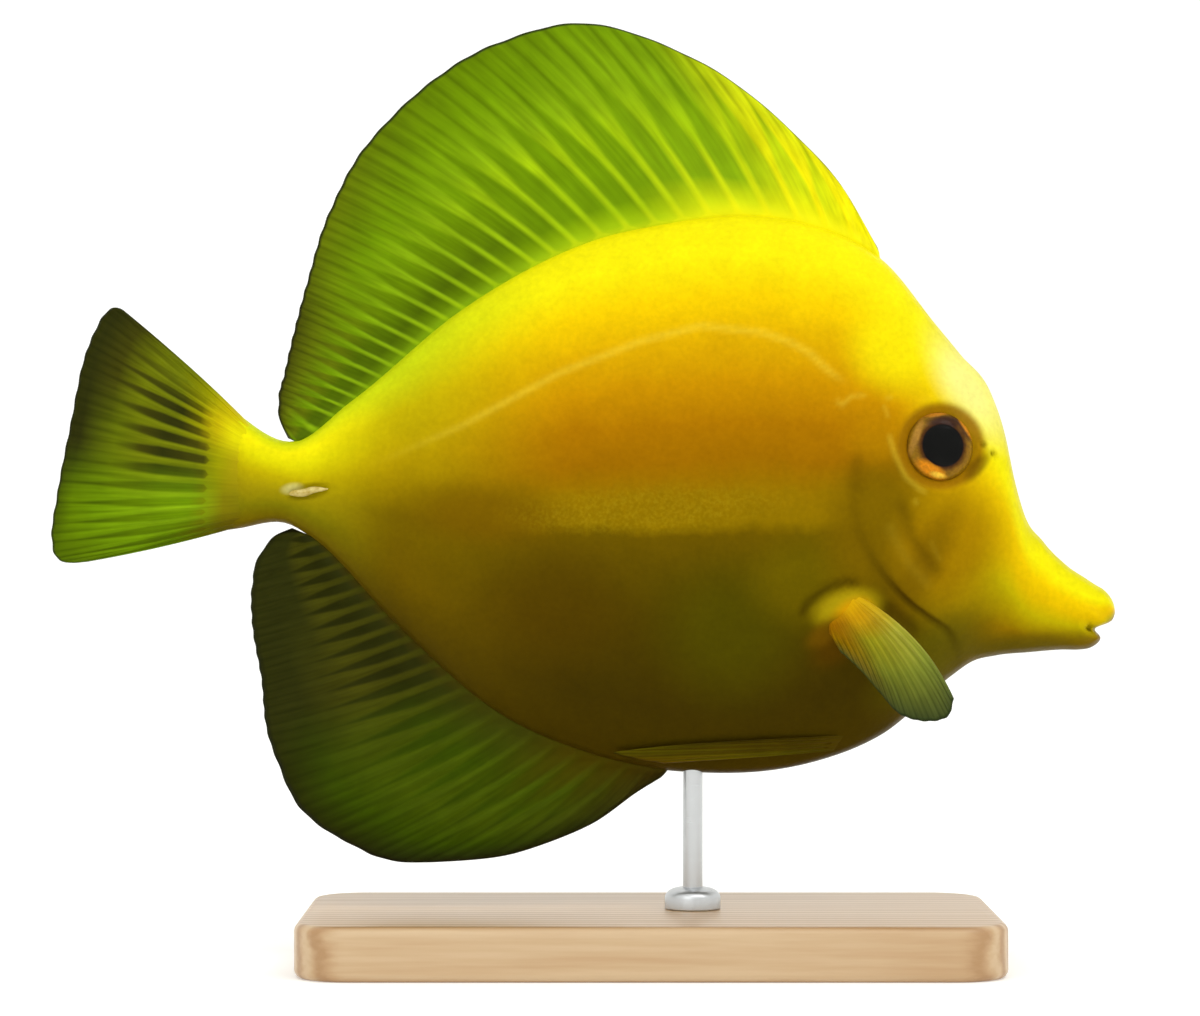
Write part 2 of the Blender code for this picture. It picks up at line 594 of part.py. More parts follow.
def stand():
    """A flat base, and one short rod in a collar up to the belly."""
    outline = []
    for quarter in range(4):
        x = (BASE_LENGTH / 2.0 - BASE_CORNER) * (1 if quarter in (0, 3) else -1)
        y = (BASE_WIDTH / 2.0 - BASE_CORNER) * (1 if quarter in (0, 1) else -1)
        for k in range(6):
            angle = math.radians(90.0 * quarter + 18.0 * k)
            outline.append((BASE_CENTRE_X + x + BASE_CORNER * math.cos(angle),
                            y + BASE_CORNER * math.sin(angle)))
    builder = bmesh.new()
    floor = builder.faces.new([builder.verts.new((x, y, 0.0)) for x, y in outline])
    grown = bmesh.ops.extrude_face_region(builder, geom=[floor])
    top = [v for v in grown["geom"] if isinstance(v, bmesh.types.BMVert)]
    bmesh.ops.translate(builder, vec=(0.0, 0.0, BASE_HEIGHT), verts=top)
    upper = [e for e in builder.edges if all(v.co.z > BASE_HEIGHT / 2.0 for v in e.verts)]
    bmesh.ops.bevel(builder, geom=upper, offset=BASE_BEVEL, segments=2, profile=0.5, affect="EDGES")
    make_object("stand_base", builder, (0.55, 0.40, 0.24), 0.45, smooth=30.0)

    foot = BASE_HEIGHT + GAP
    rod_top = belly(ROD_X) - GAP
    make_object("stand_rod", turned(ROD_X, [(0.0, foot), (ROD_RADIUS, foot), (ROD_RADIUS, rod_top),
                                            (0.0, rod_top)], 16), (0.60, 0.60, 0.62), 0.3, 1.0)
    inner = ROD_RADIUS + GAP
    make_object("stand_collar", turned(ROD_X, [(inner, foot), (COLLAR_RADIUS, foot),
                                               (COLLAR_RADIUS, foot + 0.6 * COLLAR_HEIGHT),
                                               (COLLAR_RADIUS - 1.0, foot + COLLAR_HEIGHT),
                                               (inner, foot + COLLAR_HEIGHT), (inner, foot)], 20),
                (0.60, 0.60, 0.62), 0.3, 1.0)


def turned(x, profile, sides):
    """A profile of (radius, z) turned about an upright axis."""
    builder = bmesh.new()
    verts = [builder.verts.new((x + r, 0.0, z)) for r, z in profile]
    edges = [builder.edges.new(pair) for pair in zip(verts, verts[1:])]
    bmesh.ops.spin(builder, geom=verts + edges, cent=(x, 0.0, 0.0), axis=(0.0, 0.0, 1.0),
                   angle=math.radians(360.0), steps=sides)
    bmesh.ops.remove_doubles(builder, verts=builder.verts, dist=0.001)
    return builder


def main():
    for existing in list(bpy.data.objects):
        bpy.data.objects.remove(existing)
    torso_and_tail()
    head()
    unpaired_fins()
    for word, side in (("left", 1), ("right", -1)):
        pectoral_fin("pectoral_fin_" + word, side)
        pelvic_fin("pelvic_fin_" + word, side)
    stand()


main()
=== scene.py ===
"""Yellow tang: the looks of a still, life-size display model of the fish, on its small stand.

The fish faces +X, its plane of symmetry is y = 0 and the stand rests on z = 0. Sizes are written in
millimetres and MM turns them to metres.
"""
import math

import bmesh
import bpy
import numpy as np
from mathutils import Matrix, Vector


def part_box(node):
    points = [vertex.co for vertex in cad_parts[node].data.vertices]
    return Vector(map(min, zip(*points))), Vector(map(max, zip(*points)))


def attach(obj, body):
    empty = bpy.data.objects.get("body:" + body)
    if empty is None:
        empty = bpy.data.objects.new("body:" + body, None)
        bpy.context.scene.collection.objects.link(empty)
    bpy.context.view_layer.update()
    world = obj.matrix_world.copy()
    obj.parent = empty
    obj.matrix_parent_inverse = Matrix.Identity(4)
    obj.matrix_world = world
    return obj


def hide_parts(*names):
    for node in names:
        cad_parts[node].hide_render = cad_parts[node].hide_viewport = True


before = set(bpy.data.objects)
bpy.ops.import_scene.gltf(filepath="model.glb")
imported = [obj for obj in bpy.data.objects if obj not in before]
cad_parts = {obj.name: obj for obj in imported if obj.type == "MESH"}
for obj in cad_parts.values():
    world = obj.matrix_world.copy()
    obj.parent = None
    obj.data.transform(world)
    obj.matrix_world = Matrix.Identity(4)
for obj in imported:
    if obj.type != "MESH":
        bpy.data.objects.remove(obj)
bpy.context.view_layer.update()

MM = 0.001

# The photograph is taken square on, from this point, and its frame is this wide at the fish
CAMERA_PLACE = (2.56, -602.0, 68.3)
FRAME_WIDTH = 180.5
SENSOR_WIDTH = 36.0

# The line of the back from the tail fin's base to the tip of the upper lip, as (x, z)
BACK_LINE = [(-58.0, 88.3), (-52.0, 82.6), (-44.0, 78.3), (-35.0, 84.4), (-19.0, 97.7), (-8.7, 104.1),
             (1.7, 108.7), (11.6, 111.0), (23.6, 112.4), (34.0, 111.0), (45.4, 105.3), (53.0, 96.0),
             (56.7, 91.5), (61.5, 85.3), (63.4, 79.7), (64.9, 72.6), (66.2, 67.9), (69.2, 63.3),
             (72.6, 59.8), (75.5, 57.8), (77.0, 56.8), (78.2, 56.1), (79.1, 55.2), (79.8, 53.9), (80.0, 52.7)]
BELLY_LINE = [(-58.0, 64.2), (-52.0, 65.2), (-44.0, 65.8), (-40.5, 63.6), (-28.7, 51.3), (-13.7, 38.0),
              (0.3, 31.5), (10.5, 29.1), (18.0, 28.5), (27.0, 28.7), (35.0, 30.2), (44.7, 34.1),
              (55.2, 42.9), (58.5, 45.2), (62.0, 46.1), (67.0, 46.6), (72.0, 47.0), (74.5, 47.0),
              (76.3, 47.3), (77.5, 48.1), (78.6, 49.7), (79.5, 51.1), (79.9, 52.1), (80.0, 52.6)]

TAIL_END = -54.5            # the skin ends here, inside the fleshy root of the tail fin
SNOUT_END = BACK_LINE[-1][0]

# Half of the body's greatest width, as (x, half width), and how blunt back and belly are
HALF_WIDTHS = [(-54.5, 0.2), (-53.5, 1.2), (-52.0, 2.2), (-44.0, 3.3), (-36.0, 4.4), (-20.0, 7.5),
               (0.0, 10.2), (20.0, 11.2), (38.0, 10.7), (52.0, 9.4), (60.0, 7.6), (66.0, 5.6),
               (72.0, 4.3), (76.5, 3.7), (78.6, 2.9), (79.6, 1.8), (80.0, 0.5)]
EDGE_POWERS = [(-58.0, 0.52), (-30.0, 0.62), (40.0, 0.64), (60.0, 0.60), (72.0, 0.50), (80.0, 0.48)]
SECTION_POWER = 2.2
FIN_LAND = 0.9              # half the width of the back and belly where a fin stands on them
LAND_ROUNDING = 0.9         # over this distance the land rounds off into the plane of symmetry

# The rear edge of the gill cover, from the throat up to the nape, as (z, x). It is sharp low down and
# fades away above
GILL_EDGE = [(44.4, 57.0), (47.7, 55.9), (50.4, 54.3), (52.5, 51.3), (54.7, 48.4), (58.2, 45.1),
             (62.7, 42.1), (68.7, 40.3), (75.5, 40.6), (81.5, 41.2), (89.0, 42.0), (98.0, 43.5),
             (105.3, 45.3)]
GILL_RISE = 0.5
GILL_RISE_REACH = 9.0
GILL_SHARP_HEIGHT = 54.0

# Folds and lines of head and flank, as (points x and z, half width, how far it rises, how much paler
# it is painted, or darker where negative). The paler paint is a painted highlight on raised folds, with
# the pale lateral line among them, and the darker paint is painted shade in the creases
FOLDS = [
    ([(46.4, 70.4), (48.0, 66.9), (48.7, 64.0), (50.7, 61.1), (53.8, 57.4)], 0.9, -0.20, -0.30),
    ([(45.3, 66.5), (45.7, 64.6), (48.3, 60.0), (52.2, 55.7)], 0.9, 0.12, 0.05),
    ([(51.4, 63.8), (52.1, 62.0), (53.2, 60.1)], 0.5, 0.07, 0.05),
    ([(49.1, 69.8), (49.5, 68.6)], 0.4, 0.10, 0.14),
    ([(45.3, 79.6), (45.5, 78.4), (46.2, 76.1), (47.8, 72.8), (49.7, 71.2), (51.4, 70.2)], 0.42, 0.18, 0.24),
    ([(44.3, 83.7), (45.0, 82.6), (45.2, 81.4)], 0.35, 0.08, 0.16),
    ([(44.6, 84.4), (46.0, 84.8)], 0.35, 0.08, 0.16),
    ([(37.2, 84.6), (38.4, 83.5), (39.8, 84.9), (42.4, 84.9)], 0.36, 0.08, 0.24),
    ([(39.8, 86.3), (37.2, 88.0), (35.3, 89.6), (33.6, 91.3), (30.6, 92.9), (26.6, 94.3), (17.6, 95.3),
      (8.6, 93.0), (-3.5, 88.3), (-18.0, 80.5), (-34.0, 73.6)], 0.5, 0.10, 0.32),
    ([(41.3, 70.2), (40.7, 73.4), (40.8, 76.6)], 1.1, -0.06, -0.16),
    ([(31.9, 51.6), (33.1, 54.1), (35.7, 56.1), (38.8, 57.5), (41.7, 56.9)], 0.6, -0.30, -0.60),
    ([(43.9, 54.3), (46.2, 52.8), (48.0, 51.4), (50.0, 49.2)], 0.9, -0.30, -0.45)]
MOUTH_LINE = [(77.3, 50.1), (76.4, 50.5), (75.4, 51.3)]
MOUTH_NOTCH = (50.2, 1.9)   # the height of the notch between the lips, and how deep it is
NOSTRILS = [(59.6, 77.6), (61.0, 76.4)]
NOSTRIL_RADIUS = 0.5
NOSTRIL_DEPTH = 0.9

# The eye, and the fleshy pad that the pectoral fin grows from
EYE_PLACE = (53.2, 77.5)
EYE_RADIUS = 5.15
ORBIT_RADIUS = 6.65
EYE_SINK = 0.85             # how far the eyeball's base lies inside the flank
SOCKET_DEPTH = 0.85
SOCKET_FLOOR_RADIUS = 4.7
PAD_PLACE = (39.1, 52.6)
PAD_SIZE = (5.1, 3.5)
PAD_TURN = 14.0
PAD_RISE = 1.5

# The scalpel of the tail, a folded spine in a groove on each side of the stalk
SPINE_PLACE = (-41.0, 70.8)
SPINE_TILT = 9.0
SPINE_HALF_LENGTH = 3.0
SPINE_GROOVE_HALF = (SPINE_HALF_LENGTH + 1.0, 1.25)
SPINE_GROOVE_DEPTH = 0.55

# Fins. A guide is (the number of its ray, x of its root on the body, x of its tip, z of its tip), from
# the rear forward, and the last guide's number is the fin's last ray
DORSAL_GUIDES = [(0.0, -43.4, -44.4, 78.8), (0.45, -42.0, -45.6, 81.1), (1.3, -39.2, -45.9, 84.0),
                 (3.5, -35.2, -45.0, 88.6), (6.15, -30.2, -43.5, 95.0), (8.9, -25.0, -41.6, 102.0),
                 (12.75, -16.2, -38.0, 113.2), (15.95, -7.3, -32.2, 123.4), (18.5, 1.0, -23.0, 132.4),
                 (20.8, 10.3, -13.2, 138.2), (23.5, 21.3, 2.5, 141.1), (25.05, 28.2, 13.5, 137.5),
                 (26.2, 33.3, 22.0, 132.9), (27.4, 38.4, 31.8, 124.7), (28.2, 41.6, 38.6, 117.3),
                 (29.0, 44.7, 44.3, 107.6)]
ANAL_GUIDES = [(0.0, -41.6, -43.8, 65.3), (0.35, -41.0, -46.6, 64.1), (0.8, -40.2, -48.4, 61.7),
               (2.4, -37.3, -49.8, 57.1), (4.7, -33.6, -49.9, 51.7), (8.35, -27.3, -48.5, 43.2),
               (13.05, -17.5, -46.3, 30.9), (15.15, -12.4, -42.4, 22.9), (16.9, -7.4, -36.0, 18.2),
               (19.85, 2.8, -21.5, 15.0), (21.0, 6.8, -9.5, 16.5), (21.8, 9.1, 1.1, 20.6),
               (22.5, 11.2, 8.0, 25.4), (23.0, 12.7, 11.7, 27.7)]

# A guide of the tail fin is (its ray's number, z of its root, x of its tip, z of its tip), from the
# lower edge up
CAUDAL_GUIDES = [(0.0, 65.9, -74.6, 60.2), (0.5, 66.2, -76.9, 60.0), (1.1, 66.6, -78.6, 60.3),
                 (1.8, 67.0, -79.6, 61.3), (2.65, 67.6, -80.0, 63.5), (4.9, 70.1, -79.1, 70.4),
                 (7.9, 74.9, -77.1, 80.8), (10.85, 78.2, -75.0, 91.2), (12.1, 79.4, -73.8, 94.4),
                 (13.1, 80.0, -72.4, 97.1), (13.9, 80.5, -71.0, 98.4), (14.5, 80.8, -69.5, 98.3),
                 (15.0, 81.1, -67.9, 96.9)]
CAUDAL_ROOT = -50.3

# A guide of a paired fin is (its ray's number, x and z of its root, x and z of its tip, how far the tip
# stands out)
PECTORAL_GUIDES = [(0.0, 41.6, 54.9, 53.1, 41.1, 21.0), (1.7, 40.9, 54.3, 52.4, 38.6, 20.5),
                   (4.0, 40.2, 53.7, 49.0, 37.7, 19.0), (5.8, 39.4, 53.0, 46.1, 38.4, 17.5),
                   (8.8, 38.4, 52.1, 43.0, 41.6, 13.5), (11.1, 37.3, 51.2, 40.3, 44.8, 10.5),
                   (13.0, 36.4, 50.4, 37.6, 47.4, 7.5)]
PELVIC_GUIDES = [(0.0, 38.9, 34.4, 22.0, 33.6, 0.5), (1.2, 38.6, 33.9, 14.0, 33.0, 0.7),
                 (2.1, 38.3, 33.4, 8.5, 32.4, 0.8), (2.8, 38.0, 32.9, 4.6, 31.8, 0.9),
                 (3.6, 37.7, 32.4, 7.0, 31.0, 0.8), (5.0, 37.4, 31.9, 12.0, 30.1, 0.6)]

DORSAL_SWEEP = 0.6          # the middle rays' tips lie this many spaces further back than their roots
TAIL_FLESH = (0.25, 2.15)   # half the thickness of the tail fin's root, at its edges and more amid
TAIL_FLESH_REACH = 11.5
PECTORAL_FLESH = 1.2
PECTORAL_FLESH_REACH = 7.0
PECTORAL_BULGE = (1.155, 0.96)  # how far the pectoral fin's leading edge bows, forward and up
PECTORAL_FADING = 1.2       # how fast that bow fades towards the trailing edge
PECTORAL_CAMBER = 0.045     # how far the fin arches out, as a share of its rays' length

# Half thicknesses of a fin: its root in the flesh, the membrane, and a ray at its root and tip
ROOT_HALF = 0.86
MEMBRANE_HALF = 0.17
RAY_HALF = 0.60
RAY_TIP_HALF = 0.30
ROOT_SINK = 1.2             # how deep a fin's root starts inside the body
END_CROWDING = 0.6          # how much closer the columns of a fin's mesh stand at its two ends
SCALLOP = 0.12

# The display stand, and how its base is finished
ROD_X = 16.5
ROD_RADIUS = 1.5
BASE_CORNER = 8.0
BASE_ROUNDING = 1.2
CREASE_ANGLE = 35.0         # sharper edges than this stay crisp on the stand

# The studio, in metres, and its lamps as (name, place and size in millimetres, power)
FLOOR_RADIUS = 1.3
SWEEP_RADIUS = 0.9
SWEEP_STEPS = 8
PAPER_GLOW = 0.25
ROOM_LIGHT = 0.17
LAMPS = [("overhead_softbox", (140.0, -330.0, 950.0), 700.0, 3.5),
         ("front_softbox", (-380.0, -900.0, 560.0), 650.0, 1.25),
         ("nape_light", (560.0, -420.0, 700.0), 260.0, 0.75)]
LAMP_TARGET = (0.0, 0.0, 75.0)

# Paints: the yellow coat from light to dark, then the green fins. They and the gradients and patches below
# were set from readings of the photograph's colours, with the render's light taken out
# Of these, the darker coat paints stand for painted shade on the lower body, and the palest is a painted
# highlight
PAINTED_HIGHLIGHT_CREAM = "#EAE581"
LEMON = "#E8DC0A"
SUN = "#E4BF03"
CANARY = "#D5CC07"
GOLD = "#CFA103"
AMBER = "#BC8602"
STRAW = "#B5A305"
HAY = "#9B8B08"
RUSSET = "#A36D02"
OCHRE = "#946302"
BRASS = "#896902"
DRAB = "#746C06"
OLIVE = "#624D02"
TEA = "#4F4903"
UMBER = "#443602"
BARK = "#3B2E03"
CITRUS = "#C0CC10"
PEAR = "#92B00A"
LEAF = "#78990C"
MOSS = "#638405"
FLAX = "#8C8B03"
KHAKI = "#636B08"
FERN = "#577203"
SEDGE = "#576307"
PINE = "#445A03"
IVY = "#3B4B04"
DEEP = "#2D4001"
REED = "#383708"
BOG = "#222308"
PITCH = "#191904"
INK = "#18190C"


def through(at, values):
    """A smooth curve through values that are given at rising parameters."""
    at = np.asarray(at, float)
    values = np.asarray(values, float)
    span = np.diff(at)
    rise = np.diff(values) / span
    share = span[:-1] / (span[:-1] + span[1:])
    inner = rise[:-1] * (1.0 - share) + rise[1:] * share
    slope = np.concatenate([rise[:1], inner, rise[-1:]])

    def value(u):
        i = np.clip(np.searchsorted(at, u) - 1, 0, len(span) - 1)
        s = np.clip((u - at[i]) / span[i], 0.0, 1.0)
        a = s * s * (3.0 - 2.0 * s)
        bend = slope[i] * s * (1.0 - s) ** 2 - slope[i + 1] * s * s * (1.0 - s)
        return values[i] * (1.0 - a) + values[i + 1] * a + span[i] * bend

    return value


def graph(knots):
    """The smooth graph of one coordinate over another."""
    at, values = zip(*knots)
    return through(at, values)


def fan(guides):
    """How many spaces a fin has between its rays, and its guides' values as smooth functions of 0 to 1
    along the fin, where the rays come at even steps."""
    numbers, *columns = np.array(guides).T
    return int(numbers[-1]), [through(numbers / numbers[-1], column) for column in columns]


def nosed(knots):
    """A smooth graph over x that comes round at the snout's end: its knots are joined over the root of
    the distance from there."""
    x, values = np.array(knots).T
    curve = through(-np.sqrt(SNOUT_END - x), values)
    return lambda place: curve(-np.sqrt(np.clip(SNOUT_END - place, 0.0, None)))


back = nosed(BACK_LINE)
belly = nosed(BELLY_LINE)
half_width = nosed(HALF_WIDTHS)
edge_power = graph(EDGE_POWERS)
gill_edge = graph(GILL_EDGE)


def smooth(value, start, end):
    """A soft step from 0 at the start to 1 at the end."""
    s = np.clip((value - start) / (end - start), 0.0, 1.0)
    return s * s * (3.0 - 2.0 * s)


def bump(distance, width):
    """A smooth swelling: one at no distance, nothing well past its width."""
    return np.exp(-(distance / width) ** 2)


def off_line(line, x, z):
    """How far points of the side view lie from an open line, and how far along it, 0 to 1."""
    nearest = np.full(np.shape(x), 1e9)
    along = np.zeros(np.shape(x))
    for k, ((ax, az), (bx, bz)) in enumerate(zip(line, line[1:])):
        run_x, run_z = bx - ax, bz - az
        t = ((x - ax) * run_x + (z - az) * run_z) / (run_x ** 2 + run_z ** 2)
        t = np.clip(t, 0.0, 1.0)
        away = np.hypot(x - ax - run_x * t, z - az - run_z * t)
        closer = away < nearest
        nearest = np.where(closer, away, nearest)
        along = np.where(closer, (k + t) / (len(line) - 1), along)
    return nearest, along


def faded(along, ends=0.15):
    """One along the middle of a line, and soft at its two ends."""
    return smooth(along, 0.0, ends) * (1.0 - smooth(along, 1.0 - ends, 1.0))


def ahead_of_gill(x, z):
    """How far in front of the gill cover's rear edge a point lies, measured level and square."""
    level = np.clip(z, GILL_EDGE[0][0], GILL_EDGE[-1][0])
    lean = (gill_edge(level + 0.3) - gill_edge(level - 0.3)) / 0.6
    ahead = x - gill_edge(level)
    return ahead, ahead / np.hypot(1.0, lean)


def gill_sharpness(z):
    """How sharp the gill cover's edge is at a height, and how much of it is left at all."""
    return bump(z - GILL_SHARP_HEIGHT, 5.0), 1.0 - smooth(z, 66.0, 86.0)


def turned_away(x, z, place, size, turn):
    """The distance from a turned oval, as a share of its size: 1 on its rim."""
    angle = math.radians(turn)
    dx, dz = x - place[0], z - place[1]
    along = dx * math.cos(angle) + dz * math.sin(angle)
    across = dz * math.cos(angle) - dx * math.sin(angle)
    return np.hypot(along / size[0], across / size[1])


def plain_flank(x, z):
    """Half the body's thickness at a point of the side view, without the small forms."""
    low, high = belly(x), back(x)
    share = np.clip((2.0 * z - low - high) / (high - low), -1.0, 1.0)
    land = np.minimum(FIN_LAND, 0.5 * half_width(x))
    lens = (1.0 - np.abs(share) ** SECTION_POWER) ** edge_power(x)
    return land + (half_width(x) - land) * lens, lens


def relief(x, z, lens):
    """The small forms of head and flank, as how far they stand out of the plain flank."""
    ahead, square = ahead_of_gill(x, z)
    sharp, left = gill_sharpness(z)
    soft = 0.12 + 1.6 * (1.0 - sharp)
    step = smooth(ahead, -soft, soft)
    cover = lens * np.clip(1.0 - ahead / GILL_RISE_REACH, 0.0, 1.0) ** 2
    rise = left * (GILL_RISE * (0.45 + 0.55 * sharp) * step * cover
                   - 0.34 * sharp * (1.0 - step) * bump(square, 0.9))

    for line, width, height, _ in FOLDS:
        away, along = off_line(line, x, z)
        rise += height * bump(away, width) * faded(along)

    r = np.hypot(x - EYE_PLACE[0], z - EYE_PLACE[1])
    rise += 0.30 * bump(r - ORBIT_RADIUS - 0.15, 0.6)
    rise -= SOCKET_DEPTH * (1.0 - smooth(r, SOCKET_FLOOR_RADIUS, ORBIT_RADIUS - 0.1))

    for place in NOSTRILS:
        away = np.hypot(x - place[0], z - place[1])
        rise += 0.14 * bump(away - 0.8, 0.25) - NOSTRIL_DEPTH * bump(away, NOSTRIL_RADIUS)

    pad = turned_away(x, z, PAD_PLACE, PAD_SIZE, PAD_TURN)
    rise += PAD_RISE * (1.0 - smooth(pad, 0.1, 1.1))

    groove = turned_away(x, z, SPINE_PLACE, SPINE_GROOVE_HALF, SPINE_TILT)
    rise -= SPINE_GROOVE_DEPTH * (1.0 - smooth(groove, 0.6, 1.1))
    return rise


def mouth_forms(x, z, y):
    """The slit of the mouth and the two lips, for points near the snout's tip."""
    away, along = off_line(MOUTH_LINE, x, z)
    slit = bump(away, 0.30) * (1.0 - smooth(along, 0.4, 1.0))
    lips = 0.30 * bump(away - 1.3, 0.8) - 0.14 * bump(away - 2.9, 0.7)
    near = smooth(x, 71.5, 75.0) * np.minimum(1.0, y / 2.0)
    return near * (lips - 1.0 * slit)


def between_lips(x, z):
    """How far the skin draws back between the lips at the tip of the snout."""
    height, depth = MOUTH_NOTCH
    above = z - height
    return depth * bump(above, np.where(above > 0.0, 0.72, 0.98)) * smooth(x, 73.5, 78.8)


def flank(x, z):
    """Half the body's thickness at points of the side view, with its small forms."""
    x, z = np.asarray(x, float), np.asarray(z, float)
    y, lens = plain_flank(x, z)
    y = y + relief(x, z, lens) * np.minimum(1.0, y / 3.0)
    return y + mouth_forms(x, z, y)


def flank_normal(x, z):
    """The outward direction of the left flank, without its small forms."""
    step = 0.4
    slope_x = (plain_flank(x + step, z)[0] - plain_flank(x - step, z)[0]) / (2.0 * step)
    slope_z = (plain_flank(x, z + step)[0] - plain_flank(x, z - step)[0]) / (2.0 * step)
    normal = np.stack([-slope_x, np.ones_like(slope_x), -slope_z], axis=-1)
    return normal / np.linalg.norm(normal, axis=-1, keepdims=True)


def linear(hex_colour):
    """An sRGB hex colour as linear red, green, blue and alpha."""
    parts = [int(hex_colour[k:k + 2], 16) / 255.0 for k in (1, 3, 5)]
    return tuple(c / 12.92 if c <= 0.04045 else ((c + 0.055) / 1.055) ** 2.4 for c in parts) + (1.0,)


def add(tree, kind, sockets=None, stops=None, out=0, **settings):
    """Add a shader node and give one of its outputs. A socket's entry is a value or the output that
    feeds it, and stops are the places and colours of a gradient."""
    made = tree.nodes.new("ShaderNode" + kind)
    for key, value in settings.items():
        setattr(made, key, value)
    for key, value in (sockets or {}).items():
        if isinstance(value, bpy.types.NodeSocket):
            tree.links.new(value, made.inputs[key])
        else:
            made.inputs[key].default_value = value
    if stops:
        elements = made.color_ramp.elements
        while len(elements) < len(stops):
            elements.new(0.5)
        for element, (place, colour) in zip(elements, stops):
            element.position = place
            element.color = linear(colour)
    return made.outputs[out]


def new_material(name, **shader_values):
    """A material with a Principled shader whose plain values are set on its own sockets."""
    material = bpy.data.materials.new(name)
    material.use_nodes = True
    tree = material.node_tree
    shader = tree.nodes["Principled BSDF"]
    for key, value in shader_values.items():
        shader.inputs[key.replace("_", " ")].default_value = value
    return material, tree, shader


def place_in_mm(tree):
    """The object's own coordinates, in millimetres."""
    coordinates = add(tree, "TexCoord", out="Object")
    return add(tree, "VectorMath", {0: coordinates, "Scale": 1.0 / MM}, operation="SCALE")


def airbrush(tree, colour, place, patches):
    """Blend soft ovals of paint into a colour. A patch is (centre x and z, half sizes, how far its long
    side turns up from level in degrees, softness of its rim, paint, strength)."""
    flat = 1e5
    for centre, size, turn, soft, paint, strength in patches:
        local = add(tree, "Mapping", {
            "Vector": place, "Location": (centre[0], 0.0, centre[1]),
            "Rotation": (0.0, math.radians(-turn), 0.0), "Scale": (size[0], flat, size[1])},
            vector_type="TEXTURE")
        away = add(tree, "VectorMath", {0: local}, out="Value", operation="LENGTH")
        mask = add(tree, "MapRange", {"Value": away, "From Min": 1.0 + soft, "From Max": 1.0 - soft,
                                      "To Min": 0.0, "To Max": strength}, interpolation_type="SMOOTHSTEP")
        colour = add(tree, "MixRGB", {"Fac": mask, "Color1": colour, "Color2": linear(paint)})
    return colour


# The coat from belly to back, as shares of the body's height: at the tail fin's base, on the stalk, on
# the rear flank, on the flank and on the face. Its darkening from back to belly is painted shade of light
# from above. On the flank it steps up at the lower edge of the pale band
TAIL_TINTS = [(0.05, TEA), (0.18, KHAKI), (0.4, DRAB), (0.55, FLAX), (0.7, STRAW), (0.9, CITRUS)]
STALK_TINTS = [(0.0, OLIVE), (0.2, DRAB), (0.4, HAY), (0.55, STRAW), (0.72, CANARY), (0.85, LEMON),
               (1.0, CITRUS)]
REAR_TINTS = [(0.0, UMBER), (0.2, OLIVE), (0.42, "#6B5602"), (0.52, "#8B7202"), (0.62, "#A68B03"),
              (0.8, STRAW), (0.95, CITRUS)]
FLANK_TINTS = [(0.0, UMBER), (0.12, BARK), (0.26, UMBER), (0.34, "#524202"), (0.425, OLIVE),
               (0.45, "#836702"), (0.5, BRASS), (0.56, OCHRE), (0.63, RUSSET), (0.7, AMBER), (0.78, GOLD),
               (0.85, SUN), (0.93, LEMON)]
FACE_TINTS = [(0.0, OLIVE), (0.12, BRASS), (0.3, STRAW), (0.45, "#D3AE03"), (0.6, SUN), (0.75, LEMON),
              (1.0, CANARY)]
COAT_WITH_PAINTED_SHADE = [(-55.0, TAIL_TINTS), (-50.0, STALK_TINTS), (-42.0, STALK_TINTS), (-27.0, REAR_TINTS),
        (0.0, FLANK_TINTS), (44.0, FLANK_TINTS), (64.0, FACE_TINTS)]

SKIN_PATCHES = [
    ((-33.0, 88.5), (15.0, 2.6), 38.0, 0.6, CITRUS, 0.6),          # green tinge where the back fin starts
    ((-14.0, 67.5), (10.0, 4.0), -4.0, 0.6, "#6B4D02", 0.75),      # brown, where the pale band ends
    ((-4.0, 54.0), (10.0, 8.0), 0.0, 0.7, "#4D3702", 0.6),         # a red tinge in the brown flank
    ((22.0, 50.0), (9.0, 9.0), 0.0, 0.7, "#494402", 0.75),         # and a green one under the band
    ((33.5, 57.5), (7.5, 6.0), 0.0, 0.6, "#665702", 0.8),          # olive behind the pectoral fin
    ((43.0, 66.0), (6.5, 10.5), -12.0, 0.5, "#705602", 0.85),      # the gill cover
    ((43.5, 79.0), (4.0, 3.5), 0.0, 0.7, "#AB7A02", 0.6),          # amber behind the eye
    ((54.5, 62.5), (7.0, 9.0), -25.0, 0.6, "#946D02", 0.85),       # the cheek
    ((50.5, 60.0), (2.4, 8.0), -28.0, 0.7, "#6D5102", 0.7),        # painted shade in its hollow behind the crease
    ((52.0, 46.0), (9.0, 4.0), 38.0, 0.6, "#564F05", 0.8),         # the throat, darker with painted shade under the head
    ((66.0, 47.6), (10.0, 1.8), 4.0, 0.7, "#564B05", 0.75),        # the chin, darker with painted shade under the head
    ((57.5, 86.3), (8.0, 3.2), -55.0, 0.7, PAINTED_HIGHLIGHT_CREAM, 0.95),           # a painted highlight: the shine of the forehead
    ((46.5, 92.5), (6.0, 6.0), 0.0, 0.6, LEMON, 0.7),              # bright yellow over the eye
    ((37.5, 48.0), (3.8, 2.4), 40.0, 0.6, "#533702", 0.8),         # painted shade under the pectoral fin
    ((53.2, 77.5), (6.6, 6.4), 0.0, 0.12, "#946706", 0.9),         # the ring of the orbit
    ((58.6, 74.4), (2.6, 1.0), 48.0, 0.5, "#624405", 0.7),         # its shaded lower front
    ((39.3, 53.2), (4.8, 2.9), 12.0, 0.4, "#A6900C", 0.9),         # the pad of the pectoral fin
    ((40.0, 52.4), (2.9, 2.2), 30.0, 0.5, "#CF9405", 0.9),         # its orange heart
    ((36.2, 50.0), (3.2, 1.5), 35.0, 0.6, "#6A4A04", 0.85),        # and painted shade on its lower rear
    ((-43.5, 71.2), (1.4, 0.7), 9.0, 0.6, "#E2DD94", 0.5),         # the pale sheath behind the spine
]


